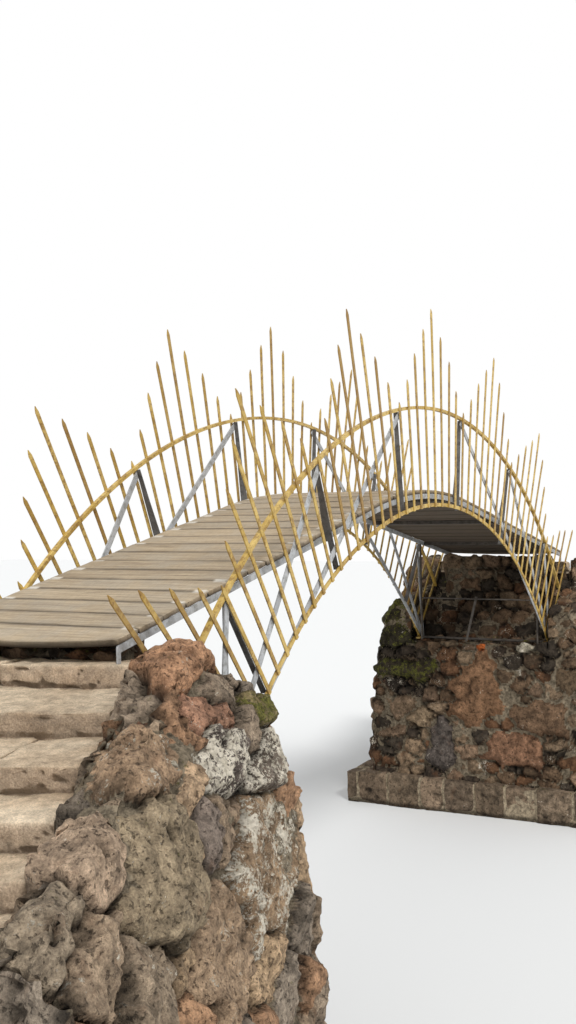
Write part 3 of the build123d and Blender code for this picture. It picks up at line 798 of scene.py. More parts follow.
def wing_skin(end_name, end, side, spacing):
    """Skin of a wing wall: its section, carried from the ledge to the foot of the steps.

    The section has an upright inner face, a crest, and a face that falls away and leans out;
    crest and thickness follow the key sections by straight lines, eased into curves. The wall's
    batter fades out behind the ledge's edge, and both of its ends are drawn in to round them.
    """
    row_stretch, crowding = 1.25, 0.85
    ease_step, ease_reach = 0.02, 6
    end_reach, end_drop, end_taper = 0.16, 0.07, 0.05
    batter_reach, inner_step = 1.2, 0.8
    length = wing_end - ledge_edge
    rows = int(length / (row_stretch * spacing)) + 1
    x = ledge_edge + length * np.linspace(0, 1, rows) ** crowding

    key_x = [ledge_edge + run for run in WING_RUNS] + [flare_start, wing_end]
    key_crest = [ledge_z + crest for crest in WING_CRESTS[end_name]]
    key_crest += [sill_top + FLARE_RISE, steps_foot + WING_END_RISE]
    key_width = [*WING_WIDTHS[end_name], FLARE_WIDTH, wing_end_width]
    even_x = np.arange(ledge_edge, wing_end + ease_step, ease_step)
    crest, width = (np.interp(x, even_x, eased(np.interp(even_x, key_x, key), ease_reach))
                    for key in (key_crest, key_width))
    for distance in (x - ledge_edge, wing_end - x):
        pull = ramp(distance, end_reach) ** 2
        crest = crest - end_drop * pull
        width = width - end_taper * pull

    inner = stair_half_width(x)
    foot = np.where(x < footing_high[0] - spacing, footing_top - SEAT, 0.0)
    across = [inner] * 3 + [inner + share * width for share, _ in WING_ROUNDING] + [inner + width]
    heights = [foot, crest - inner_step, crest]
    heights += [crest - drop * width for _, drop in WING_ROUNDING] + [foot]
    across, heights = np.stack(across, -1), np.stack(heights, -1)
    batter = WALL_BATTER * ramp(x - ledge_edge, batter_reach)[:, None]
    along = x[:, None] + (heights - ledge_z) * batter
    corners = np.stack([end * along, side * across, heights], -1)

    # Steps over the crest, down its rounding, the leaning face and its foot, and down the inner face
    parts = (0.8, 0.5, 1.3, 0.55, inner_step)
    over, steep, leaning, low, near_crest = (int(part / spacing) for part in parts)
    upright = steep + leaning + low
    counts = (upright - near_crest, near_crest, over // 2, over - over // 2, steep, leaning, low, over)
    return closed_skin(carried_profile(corners, counts), upright, over)


def wing_hidden(side):
    """Faces of a wing wall against the abutment, the stair core or the floor."""
    core_end = fan_place(step_radii[-1] - CORE_INSET, 1.0)[0]
    bed_depth, fade = 0.3, 0.01
    stations = [ledge_edge, ledge_edge + LEDGE_DEPTH, abutment_back, core_end, core_end + fade]
    levels = [ledge_z, ledge_z, sill_top - BACK_SLOPE_DROP, steps_foot - bed_depth, 0]

    def test(middle, normal):
        inward = normal[:, 1] * side < -LOOKING
        covered = middle[:, 2] < np.interp(np.abs(middle[:, 0]), stations, levels)
        return (inward & covered) | (normal[:, 2] < -LOOKING)
    return test


def abutment_skin(end, spacing):
    """Skin of an abutment: its elevation, carried across the bridge.

    The elevation has the battered face, the ledge, the slope behind it and, between the ribs, the
    wall under the end of the deck; beside that wall its two upper corners lie on the slope.
    """
    backing_lean, slope_step = 0.02, 0.15
    slope_length, backing_height = 0.75, 0.72
    y = np.linspace(-wing_inner, wing_inner, int(2 * wing_inner / spacing) + 1)
    middle = np.abs(y) < BACKING_HALF_WIDTH
    foot = footing_top - SEAT
    face_foot = ledge_edge - (ledge_z - foot) * WALL_BATTER
    ledge_back = ledge_edge + LEDGE_DEPTH
    backing_front = abutment_back - BACKING_DEPTH
    slope_top = sill_top - BACK_SLOPE_DROP
    rise = (slope_top - ledge_z) / (abutment_back - ledge_back)
    slope_z = ledge_z + (backing_front - ledge_back) * rise
    top = abutment_high[2]
    back_top = top - BACKING_DEPTH * math.tan(DECK_SLOPE)
    x = (face_foot, ledge_edge, ledge_back, backing_front,
         backing_front + np.where(middle, backing_lean, slope_step), abutment_back, abutment_back)
    z = (foot, ledge_z, ledge_z, slope_z,
         np.where(middle, top, slope_z + slope_step * rise), np.where(middle, back_top, slope_top), foot)
    x, z = (np.stack(np.broadcast_arrays(*row), -1) for row in (x, z))
    corners = np.stack([end * x, np.broadcast_to(y[:, None], x.shape), z], -1)
    face = int((ledge_z - foot) / spacing)
    spans = [int(length / spacing) for length in (LEDGE_DEPTH, slope_length, backing_height, BACKING_DEPTH)]
    counts = (face, *spans, face, sum(spans))
    return closed_skin(carried_profile(corners, counts), face, sum(spans))


def abutment_hidden(end):
    """Faces of an abutment against the wing walls, the stair core or the footing."""
    def test(middle, normal):
        beside = (np.abs(normal[:, 1]) > LOOKING) & (np.abs(middle[:, 1]) > wing_inner - 0.01)
        return beside | (normal[:, 0] * end > LOOKING) | (normal[:, 2] < -LOOKING)
    return test


def footing_skin(end_name, end, spacing):
    """Skin of a footing: a rectangle carried across the bridge, with a width of its own front and back."""
    low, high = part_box(f"footing_{end_name}")
    front, back = sorted(abs(value) for value in (low[0], high[0]))
    front_y, back_y = (high[1] - inset for inset in FOOTING_INSETS[end_name])
    share = np.linspace(-1, 1, int(2 * front_y / spacing) + 1)[:, None]
    x = np.array([front, front, front + FOOTING_PROJECTION, back, back])
    z = np.array([0, footing_top, footing_top, footing_top, 0])
    y = share * np.interp(x, [front, back], [front_y, back_y])
    corners = np.stack([np.broadcast_to(end * x, y.shape), y, np.broadcast_to(z, y.shape)], -1)
    upright, ledge, behind = int(footing_top / spacing), int(FOOTING_PROJECTION / spacing), 12
    counts = (upright, ledge, behind, upright, ledge + behind)
    return closed_skin(carried_profile(corners, counts), upright, ledge + behind)


def footing_hidden(middle, normal):
    """The underside of a footing."""
    return normal[:, 2] < -LOOKING


def core_skin(end, spacing):
    """Skin of a stair core: its elevation carried round the fan, each loop a share of the turn.

    It stops a little short of the slabs above it and of the wing walls beside it.
    """
    arc_share, smallest_radius, clear_height, clear_width = 0.946, 1.5, 0.003, 0.998
    share = np.linspace(-1, 1, int(arc_share * step_radii[-1] / spacing) + 1)[:, None]
    sill_back = FAN_RADIUS - TREAD_LAP
    core_front = step_radii[-1] - CORE_INSET
    low_top = steps_foot - riser
    radii = np.array([0, 0, sill_back, sill_back, step_radii[-2] - TREAD_LAP, core_front, core_front])
    z = np.array([0, sill_top - riser, sill_top - riser, sill_top - 2 * riser, low_top, low_top, 0])
    z[1:6] -= clear_height
    x, y = fan_place(np.maximum(radii, smallest_radius), share)
    at_back = radii == 0
    x = np.where(at_back, abutment_back, x)
    y = np.where(at_back, np.clip(y, -wing_inner, wing_inner), y) * clear_width
    corners = np.stack([end * x, y, np.broadcast_to(z, y.shape)], -1)
    upright, over = int(low_top / spacing), (4, 2, 10, 8)
    counts = (upright, *over, upright, sum(over))
    return closed_skin(carried_profile(corners, counts), upright, sum(over))


def core_hidden(end):
    """All faces of a stair core but the front below the lowest step."""
    def test(middle, normal):
        return normal[:, 0] * end < LOOKING
    return test


def colour_property(name, description, code):
    """A colour that can be changed, its default given as a web colour."""
    return FloatVectorProperty(name=name, description=description, subtype="COLOR", default=shade(code))


def length_property(name, description, default, least, most):
    """A length in metres that can be changed."""
    return FloatProperty(
        name=name, description=description, default=default, min=least, max=most, unit="LENGTH")


class MasonrySettings(bpy.types.PropertyGroup):
    joint_depth: FloatProperty(
        name="Joint depth", description="How deep the joints lie, for a metre of stone", default=0.16,
        min=0.02, max=0.4)
    fine_spacing: length_property("Fine spacing", "Grid spacing beside the steps", 0.0158, 0.012, 0.08)
    wall_spacing: length_property("Wall spacing", "Grid spacing on the other walls", 0.0275, 0.02, 0.08)
    # Painted shade: this colour darkens the pits of the rock; it is not used in the joints
    pit_shade_colour: colour_property("Joint", "Colour deep in the joints", "#2c251e")
    mortar_colour: colour_property("Mortar", "Colour of the pale mortar", "#9c8d76")
    rust_stain: colour_property("Rust stain", "Red-brown stain in the rock", "#7a5034")
    lichen_colour: colour_property("Lichen", "Colour of the cream lichen", "#f3e8d4")
    lichen_shadow: colour_property("Lichen shadow", "Greyer lichen", "#c6bba6")
    moss_colour: colour_property("Moss", "Dark moss", "#4a4a22")
    moss_light: colour_property("Light moss", "Light moss", "#7b7a35")
    step_colour: colour_property("Step", "Sandstone of the steps", "#c9b79e")
    step_shadow: colour_property("Step, browner", "Browner sandstone", "#b09a80")
    step_worn: colour_property("Step, worn", "Pale worn treads", "#d6c2a6")
    # Painted shade: the darker colour of the step faces stands in for the shade on them
    step_face_shade: colour_property("Step face", "Darker faces of the steps", "#998672")
    step_blue: colour_property("Blue block", "Blue-grey block among the steps", "#99928c")
    step_dirt: colour_property("Step dirt", "Dirt in hollows and joints", "#6e5a45")


class DeckSettings(bpy.types.PropertyGroup):
    gap: length_property("Gap", "Between two planks", 0.008, 0.002, 0.02)
    edge_round: length_property("Edge", "Rounding of a plank's edges", 0.004, 0.001, 0.015)
    last_plank: length_property("Last plank", "Width of the plank at each end", 0.37, 0.2, 0.5)
    plank_light: colour_property("Light", "Light weathered wood", "#bba88c")
    plank_dark: colour_property("Dark", "Dark weathered wood", "#9a8870")
    plank_grey: colour_property("Grey", "Silvered wood", "#a89d8c")
    # Painted shade: the dark underside colour stands in for the shade under the deck
    plank_under_shade: colour_property("Underside", "Dark damp underside", "#3a3028")
    plank_pale: colour_property("Pale edge", "Pale chipped spots beside the joints", "#d8d2c6")
    plank_crack: colour_property("Crack", "Inside the cracks", "#4a3d30")


class IronSettings(bpy.types.PropertyGroup):
    ray_lean: FloatProperty(
        name="Lean", description="Most that a ray leans off its radius", default=math.radians(0.45),
        min=0.0, max=0.05, subtype="ANGLE")
    gold: colour_property("Gold", "Ochre gold paint", "#b39242")
    gold_light: colour_property("Light gold", "Sunned paint", "#d0b268")
    gold_stain: colour_property("Brown gold", "Stained paint", "#866330")
    gold_bare: colour_property("Worn spots", "Brown where the paint is worn", "#5f4427")
    zinc: colour_property("Zinc", "Pale grey of struts and beams", "#a3a4a5")
    slate_paint: colour_property("Post grey", "Dark grey of the posts", "#544f4a")


class StageSettings(bpy.types.PropertyGroup):
    floor_colour: FloatVectorProperty(
        name="Floor", description="Plain pale floor", subtype="COLOR", default=(0.78, 0.78, 0.77))
    sky_strength: FloatProperty(
        name="Sky", description="Strength of the soft light", default=0.8, min=0.0, max=3.0)
    sun_strength: FloatProperty(
        name="Sun", description="Strength of the sun", default=1.9, min=0.0, max=10.0)


class Masonry(NamedTuple):
    """A kind of masonry: what its pieces are called, its stones, their cut and their material."""

    name: str
    bed: StoneBed
    cut: Cut
    material: bpy.types.Material

    def lay(self, node, slot, skin, hidden, joint_depth, side=0):
        """Carves a skin into stones and adds it in place of its node."""
        points, quads = skin
        points, attributes = carve(points, quads, hidden, self.bed, self.cut, joint_depth, side)
        add_piece(f"{self.name}_{node}", points, quads, attributes, self.material, (node,))


class FOOTBRIDGE_OT_build_walls(bpy.types.Operator):
    """Builds the abutments, wing walls, footings and stair cores as stonework"""

    bl_idname = "footbridge.build_walls"
    bl_label = "Build the walls"

    def execute(self, context):
        settings = context.scene.footbridge_masonry
        depth, fine, coarse = settings.joint_depth, settings.fine_spacing, settings.wall_spacing
        boulders = Masonry(
            "stones", StoneBed((0.56, 0.50, 0.40), LAVA_TINTS, NEAR_BOULDERS, seed=21, joint_width=0.046),
            BOULDER_CUT, stone_shader("volcanic rock", settings, light=1.2))
        rubble = Masonry(
            "stones", StoneBed((0.27, 0.27, 0.19), SHADED_RUBBLE_TINTS, FAR_STONES, seed=57, slope=0.16),
            RUBBLE_CUT, stone_shader("rubble", settings, mortar_light=0.9))
        blocks = Masonry(
            "blocks", StoneBed((0.60, 0.44, 0.56), BLOCK_TINTS, seed=83, spread=0.06, power=6.0, slope=0.03,
                               seam=0.040, joint_width=0.005),
            BLOCK_CUT, stone_shader("dressed stone", settings, light=0.88, mortar_light=1.32))
        wing_masonry = {"near": boulders, "far": rubble}
        wing_spacings = {
            "near": {"right": fine, "left": NEAR_LEFT_SPACING},
            "far": {"right": coarse, "left": coarse},
        }
        abutment_spacings = {"near": NEAR_ABUTMENT_SPACING, "far": coarse}
        for end_name, end in ENDS.items():
            for side_name, side in SIDES.items():
                skin = wing_skin(end_name, end, side, wing_spacings[end_name][side_name])
                node = f"wing_wall_{end_name}_{side_name}"
                wing_masonry[end_name].lay(node, "lava_stone", skin, wing_hidden(side), depth, side)
            skin = abutment_skin(end, abutment_spacings[end_name])
            rubble.lay(f"abutment_{end_name}", "rubble_stone", skin, abutment_hidden(end), depth)
            skin = footing_skin(end_name, end, FOOTING_SPACING)
            blocks.lay(f"footing_{end_name}", "dressed_stone", skin, footing_hidden, depth)
            skin = core_skin(end, CORE_SPACING)
            rubble.lay(f"stair_core_{end_name}", "rubble_stone", skin, core_hidden(end), depth)
        return {"FINISHED"}


def slab_block(end, inner, outer, top, left, right, spacing, seed, light):
    """One block of a step: a rounded section carried round the fan, worn hollow in the middle of the way.

    inner and outer are radii, left and right shares of the turn. The tread sinks by a parabola across
    the stair, the front wanders with noise, and the upper edges are rounded off.
    """
    edge, lip, back_step, wall_gap = 0.008, 0.2, 0.05, 0.008
    end_reach, end_pinch = 0.025, 0.012
    wear, roughest, chip_size, crack_depth, wander = 0.010, 0.006, 0.06, 0.014, 0.020
    half_turn = float(fan_turn(outer))
    rows = max(8, int((right - left) * outer * half_turn / spacing))
    share = np.linspace(left, right, rows + 1)[:, None]
    bottom = top - SLAB_THICKNESS
    inner = np.maximum(inner, (sill_inner - fan_centre) / np.cos(share * half_turn))
    inner_least = float(inner.min())
    radius = (inner, inner, inner + edge, outer - lip, outer - 1.6 * edge, outer - 0.3 * edge, outer, outer)
    radius = np.concatenate(np.broadcast_arrays(*radius), axis=1)
    z = [bottom, top - edge, top, top, top, top - 0.6 * edge, top - 1.8 * edge, bottom]
    z = np.tile(z, (rows + 1, 1))
    from_end = np.minimum(share - left, right - share) * outer * half_turn
    pinch = end_pinch * ramp(from_end, end_reach) ** 2
    z[:, 1:7] -= pinch
    radius[:, 4:] -= pinch
    x, y = fan_place(radius, share)
    corners = np.stack([end * x, y * (1 - wall_gap / wing_inner), z], -1)
    upright = max(4, int(SLAB_THICKNESS / spacing))
    deep = max(6, int((outer - lip - inner_least) / back_step))
    over = (1, deep, int(lip / spacing), 2, 1)
    counts = (upright, *over, upright, sum(over))
    points, quads = closed_skin(carried_profile(corners, counts), upright, sum(over))

    # Where a point lies: its radius, its share of the way to the wall, and how much on top or in front
    top_depth, front_depth, front_start = 0.03, 0.05, 0.01
    directions, _ = outward_directions(points, quads, lambda middle, normal: normal[:, 2] < -0.9)
    reach = np.hypot(np.abs(points[:, 0]) - fan_centre, points[:, 1])
    way = np.abs(points[:, 1]) / stair_half_width(np.abs(points[:, 0]))
    on_top = ramp(top - points[:, 2], top_depth)
    front = ramp(outer - front_start - reach, front_depth)
    worn = on_top * (1 - way**2)

    # Roughness, chips along the front edge, and cracks along the beds of the front
    rough = 0.010 * fractal(points, 0.24, 4, seed) + 0.007 * fractal(points, 0.07, 3, seed + 9)
    chip = chip_size * np.clip(fractal(points, 0.15, 4, seed + 31) - 0.2, 0, 1) * front * on_top
    beds = np.abs(fractal(points * np.array([0.35, 0.35, 2.2]), 0.16, 3, seed + 47))
    split = ramp(beds, 0.10) * front * (1 - on_top)
    points = points + directions * (np.minimum(rough, roughest) - chip - crack_depth * split)[:, None]
    points[:, 2] -= wear * worn
    points[:, 0] += end * wander * front * (fractal(points * np.array([0, 1, 0]), 0.5, 3, seed + 71) - 0.5)

    # Dirt gathers above the next tread and along the back of this one
    next_tread, dirt_height, dirt_width = top - riser + 0.005, 0.03, 0.12
    joint = ramp(np.abs(points[:, 2] - next_tread), dirt_height)
    back = ramp(reach - inner_least, dirt_width) * on_top
    attributes = {
        "worn": worn * (1 - front),
        # Painted light: tone is the block's random tone times the painted light of its course
        "tone": np.full(len(points), light * between((seed * 0.377) % 1, 0.92, 1.08)),
        # Painted shade: face marks the front faces that the shader darkens
        "face": front * (1 - on_top),
        "blue": np.full(len(points), 1.0 if seed % 7 == 0 else 0.0),
        "joint": np.maximum(joint, 0.7 * back) + split,
    }
    return points, quads, attributes


class FOOTBRIDGE_OT_lay_steps(bpy.types.Operator):
    """Lays the worn slabs of the steps and the sill stones, each course in blocks"""

    bl_idname = "footbridge.lay_steps"
    bl_label = "Lay the steps"

    def execute(self, context):
        material = step_shader("worn sandstone", context.scene.footbridge_masonry)
        dice = np.random.default_rng(5)
        for end_name, end in ENDS.items():
            spacing = STEP_SPACINGS[end_name]
            blocks = []
            for course, radius in enumerate(step_radii[1:], start=1):
                blocks += self.course(end, course, step_radii[course - 1], radius, spacing, dice)
            self.add_slabs("slabs", f"steps_{end_name}", blocks, material)
            blocks = [slab_block(end, 0.0, FAN_RADIUS, sill_top, left, right, spacing, seed, COURSE_PAINTED_LIGHT[0])
                      for left, right, seed in SILL_BLOCKS]
            self.add_slabs("slab", f"sill_stone_{end_name}", blocks, material)
        return {"FINISHED"}

    def course(self, end, course, before, radius, spacing, dice):
        """The blocks of one step: three, or two where the middle one would be narrow.

        Cuts are shares of the turn, from the right wall at -1 to the left one at 1.
        """
        outermost, narrow, joint, most_drop, most_setback = 0.75, 0.35, 0.004, 0.012, 0.02
        cuts = [-1.0, *sorted(dice.uniform(-outermost, outermost, size=2)), 1.0]
        if cuts[2] - cuts[1] < narrow:
            cuts.pop(2)
        gap = joint / before
        blocks = []
        for left, right in zip(cuts, cuts[1:]):
            seed = int(dice.integers(1, 999))
            top = sill_top - course * riser - float(dice.uniform(0.0, most_drop))
            front = radius - float(dice.uniform(0, most_setback))
            blocks.append(slab_block(end, before - TREAD_LAP, front, top, left + gap, right - gap,
                                     spacing, seed, COURSE_PAINTED_LIGHT[course]))
        return blocks

    def add_slabs(self, name, node, blocks, material):
        points, quads, attributes = join(blocks)
        add_piece(f"{name}_{node}", points, quads, attributes, material, (node,))


def deck_station(run):
    """Place and slope of the deck's top at a length along it from the crown: an arc, then straight."""
    way, run = np.sign(run), np.abs(run)
    turn = np.minimum(run / DECK_CROWN_RADIUS, DECK_SLOPE)
    past = np.maximum(run - deck_arc_run, 0)
    x = DECK_CROWN_RADIUS * np.sin(turn) + past * math.cos(DECK_SLOPE)
    z = deck_centre_z + DECK_CROWN_RADIUS * np.cos(turn) - past * math.sin(DECK_SLOPE)
    return way * x, z, way * turn


def plank_skin(run, half, ends, settings, seed):
    """Skin of a plank in its own place: a rounded rectangle carried across the deck.

    half is half of its width. Its edges wander by noise, and its ends, at ends[0] and ends[1] from
    the middle, are rounded. Its own coordinates u, y and w go along the bridge, across it and up.
    """
    rounding, steps, crowding = settings.edge_round, 40, 0.8
    end_reach, end_pinch, wander = 0.02, 0.004, 0.0022
    share = np.linspace(-1, 1, steps + 1)
    share = np.sign(share) * np.abs(share) ** crowding
    y = np.where(share < 0, share * ends[0], share * ends[1])
    pinch = end_pinch * ramp(np.minimum(y + ends[0], ends[1] - y), end_reach)[:, None] ** 2
    foot = -PLANK_THICKNESS
    inner = half - rounding
    u = np.array([-half, -half, -inner, inner, half, half, inner, -inner])
    w = np.array([foot + rounding, -rounding, 0, 0, -rounding, foot + rounding, foot, foot])
    line = np.stack([np.full_like(y, run), y, np.zeros_like(y)], -1)
    u = u * (1 - pinch / half) + wander * fractal(line, 0.5, 2, seed)[:, None]
    w = w - np.sign(w + PLANK_THICKNESS / 2) * pinch
    corners = np.stack([u, np.broadcast_to(y[:, None], u.shape), w], -1)
    return closed_skin(carried_profile(corners, (2, 1, 6, 1, 2, 1, 6, 1)), 2, 8)


class FOOTBRIDGE_OT_lay_planks(bpy.types.Operator):
    """Lays the deck's planks, each with its own warp, ends and grain"""

    bl_idname = "footbridge.lay_planks"
    bl_label = "Lay the planks"

    def execute(self, context):
        settings = context.scene.footbridge_deck
        material = wood_shader("weathered planks", settings)
        half_run = deck_arc_run + (deck_end - deck_arc_x) / math.cos(DECK_SLOPE)
        per_half = round(half_run / PLANK_PITCH)
        pitch = (half_run - settings.last_plank) / (per_half - 1)
        edges = [n * pitch for n in range(per_half)] + [half_run]
        crown = round(deck_arc_run / pitch)
        groups = {
            "near": range(-per_half, -crown),
            "crown": range(-crown, crown),
            "far": range(crown, per_half),
        }
        dice = np.random.default_rng(12)
        for group, indices in groups.items():
            planks = []
            for n in indices:
                low, high = (edges[n], edges[n + 1]) if n >= 0 else (-edges[-n], -edges[-n - 1])
                planks.append(self.plank(low, high, settings, dice, n + 100))
            points, quads, attributes = join(planks)
            node = f"deck_planks_{group}"
            add_piece(f"boards_{node}", points, quads, attributes, material, (node,))
        return {"FINISHED"}

    def plank(self, low, high, settings, dice, seed):
        """A plank cupped and twisted a little, and set on the curve of the deck.

        u, y and w are its own coordinates: along the bridge, across it and up. Where the deck ends,
        the outer edge is drawn in to an arc: the section shrinks by as much as the arc falls short
        of the plank's edge.
        """
        most_short, most_cup, most_twist, most_turn = 0.012, 0.0015, 0.003, 0.004
        top_depth, unevenness, raggedness = 0.02, 0.0016, 0.008
        edge_width, chip_width, chip_chance = 0.010, 0.016, 0.8
        beam_y, beam_reach = 0.78, 0.05
        run, half = (low + high) / 2, (high - low - settings.gap) / 2
        ends = deck_half_width - dice.uniform(0.0, most_short, size=2)
        points, quads = plank_skin(run, half, ends, settings, seed)
        u, y, w = points.T
        # Painted shade: edge marks the 10 mm along each side of the plank, which the shader darkens
        edge = ramp(half - np.abs(u), edge_width)
        top = ramp(-w, top_depth)
        # Painted shade: under marks the lower part of the plank, which the shader darkens
        under = np.clip((-w / PLANK_THICKNESS - 0.25) / 0.5, 0, 1)

        # The arc at the end of the deck
        outward = np.sign(run)
        edge_x = deck_station(run + outward * half)[0]
        arc_x = deck_end_centre + np.sqrt(DECK_END_RADIUS**2 - y**2)
        short = np.clip((np.abs(edge_x) - arc_x) / math.cos(DECK_SLOPE), 0, None)
        u = outward * (-half + (outward * u + half) * (1 - short / (2 * half)))

        # Cup, uneven top, ragged ends and twist
        cup = dice.uniform(-most_cup, most_cup)
        w = w + cup * (1 - (u / half) ** 2) - max(0, cup)
        w = w + unevenness * fractal(points + seed, 0.18, 3, seed) * top
        ragged = fractal(4 * points * np.array([1, 0, 1]) + seed, 0.2, 2, seed + 3)
        y = y + raggedness * ragged * np.abs(y) ** 8
        w = w + dice.uniform(-most_twist, most_twist) * u
        x0, z0, turn = deck_station(run)
        turn = turn + dice.uniform(-most_turn, most_turn)
        x = x0 + u * math.cos(turn) + w * math.sin(turn)
        z = z0 - u * math.sin(turn) + w * math.cos(turn)

        # Most planks are pale where their edges chip, over the side beams
        over_beam = np.abs(np.abs(y) - beam_y) < beam_reach
        chipped = ramp(half - np.abs(u), chip_width) * over_beam * top
        pale = 0.9 * np.clip(2 * chipped, 0, 1) * (dice.uniform() < chip_chance)
        offset = dice.uniform(0, 50, size=3)
        attributes = {
            "tone": np.full(len(x), dice.uniform(0.90, 1.08)),
            "edge": edge * (1 - pale),
            "pale": pale,
            "under": under,
            "grain": np.stack([u, y, w], -1) + offset,
        }
        return np.stack([x, y, z], -1), quads, attributes


class FOOTBRIDGE_OT_set_rays(bpy.types.Operator):
    """Sets the pointed rays on the arch bands and the handrails"""

    bl_idname = "footbridge.set_rays"
    bl_label = "Set the rays"

    def execute(self, context):
        settings = context.scene.footbridge_iron
        gold = paint_shader("gold paint on rays", settings.gold, settings.gold_light, settings.gold_stain,
                            settings.gold_bare, 0.28, 0.5)
        groups = {
            "near": range(-RAYS_PER_HALF, -RAYS_PER_WAVE),
            "crown": range(-RAYS_PER_WAVE, RAYS_PER_WAVE + 1),
            "far": range(RAYS_PER_WAVE + 1, RAYS_PER_HALF + 1),
        }
        crease = math.radians(20)
        dice = np.random.default_rng(8)
        for side_name, side in SIDES.items():
            for group, indices in groups.items():
                rays = [self.ray(index, side, settings.ray_lean, dice) for index in indices]
                points, quads, attributes = join(rays)
                node = f"rays_{side_name}_{group}"
                add_piece(f"bars_{node}", points, quads, attributes, gold, (node,), crease)
        return {"FINISHED"}

    def ray(self, index, side, most_lean, dice):
        """A bevelled bar carried out from the rays' common focus, leaning and bowed a little, with a point.

        Its places along it, across it and outwards from the band are along, across and deep.
        """
        least_longer, most_longer, most_bow, most_outward_bow = -0.012, 0.008, 0.006, 0.010
        tip_half, shoulder_share, tip_share = 0.0025, 0.27, 0.6
        step = abs(index) % RAYS_PER_WAVE
        length = RAY_LENGTHS[min(step, RAYS_PER_WAVE - step)] * (1 + dice.uniform(least_longer, most_longer))
        angle = index * SPRINGING_ANGLE / RAYS_PER_HALF
        foot_x = ARCH_RADIUS * math.sin(angle)
        foot_z = arch_centre_z + ARCH_RADIUS * math.cos(angle)
        turn = math.atan2(foot_x, foot_z - focus_z)

        # The section, as wide as the bar up to the point and then nearly sharp
        straight = np.linspace(-RAY_OVERHANG, length - RAY_POINT, 12)
        along = np.append(straight, [length - RAY_POINT / 2, length])
        half = np.append(np.full(len(straight), RAY_WIDTH / 2), [shoulder_share * RAY_WIDTH, tip_half])
        thick = np.append(np.full(len(straight) + 1, RAY_THICKNESS), tip_share * RAY_THICKNESS)
        bevel = np.minimum(0.002, 0.4 * half)
        flat = np.zeros_like(thick)
        inset = half - bevel
        across = np.stack([-half, -half, -inset, inset, half, half, inset, -inset], -1)
        deep = np.stack([bevel, thick - bevel, thick, thick, thick - bevel, bevel, flat, flat], -1)

        # It leans from its foot, bows sideways along all of it, and in or out above the handrail
        reach = along / length
        free = np.clip(along - HANDRAIL_RISE, 0, None)
        lean = dice.uniform(-most_lean, most_lean)
        across = across + (lean * along + dice.uniform(-most_bow, most_bow) * reach**2)[:, None]
        deep = deep + (dice.uniform(-most_outward_bow, most_outward_bow) * free**2)[:, None]
        x = foot_x + along[:, None] * math.sin(turn) + across * math.cos(turn)
        z = foot_z + along[:, None] * math.cos(turn) - across * math.sin(turn)
        corners = np.stack([x, side * (RIB_OUTER + deep), z], -1)
        points, quads = closed_skin(carried_profile(corners, (1, 1, 2, 1, 1, 1, 2, 1)), 1, 4)
        tone = 0.75 * dice.uniform(0, 1) ** 2
        return points, quads, {"tone": np.full(len(points), tone)}


class FOOTBRIDGE_OT_paint_iron(bpy.types.Operator):
    """Paints the ribs, handrails, posts, struts, beams, ties and trestles"""

    bl_idname = "footbridge.paint_iron"
    bl_label = "Paint the iron"

    def execute(self, context):
        settings = context.scene.footbridge_iron
        gold = paint_shader("gold paint on ribs", settings.gold, settings.gold_light, settings.gold_stain,
                            settings.gold_bare, 0.30, 0.5)
        zinc, grey, iron = (
            paint_shader(name, body, *(shade(code) for code in codes), wear, roughness)
            for name, body, codes, wear, roughness in (
                ("zinc grey paint", settings.zinc, ("#b9babb", "#86857f", "#6d6860"), 0.22, 0.55),
                ("dark grey paint", settings.slate_paint, ("#6c6a67", "#45423f", "#6b4c36"), 0.25, 0.55),
                ("bare iron and painted shade", shade("#4a4540"), ("#5a534b", "#3a332c", "#6b4630"), 0.30, 0.7),
            ))
        # Painted shade: the far trestle gets the dark bare iron, not the near one's zinc grey, for the shade
        # under the far end of the deck
        finishes = {
            "arch_rib": gold, "handrail": gold, "posts": grey, "struts": zinc, "deck_beam": zinc,
            "deck_trestle_near": zinc, "deck_trestle_far": iron, "foot_tie": iron, "deck_cross_bars": iron,
        }
        for node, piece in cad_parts.items():
            for start, material in finishes.items():
                if node.startswith(start):
                    piece.data.materials.clear()
                    piece.data.materials.append(material)
        return {"FINISHED"}


# The stage: the light, and the camera by its place, its heading, pitch and roll, and its lens.
# The camera was found by fitting points of the bridge to the photograph.
SKY_COLOUR = (0.96, 0.98, 1.0, 1)
SUN_WIDTH = math.radians(14)
SUN_DIRECTION = Vector((-0.55, -0.62, 0.85))
EYE = Vector((-11.121, -5.236, 4.521))
EYE_TURN = (math.radians(28.55), math.radians(-0.68), math.radians(-1.42))
SENSOR_HEIGHT = 36
LENS_LENGTH = 39.15


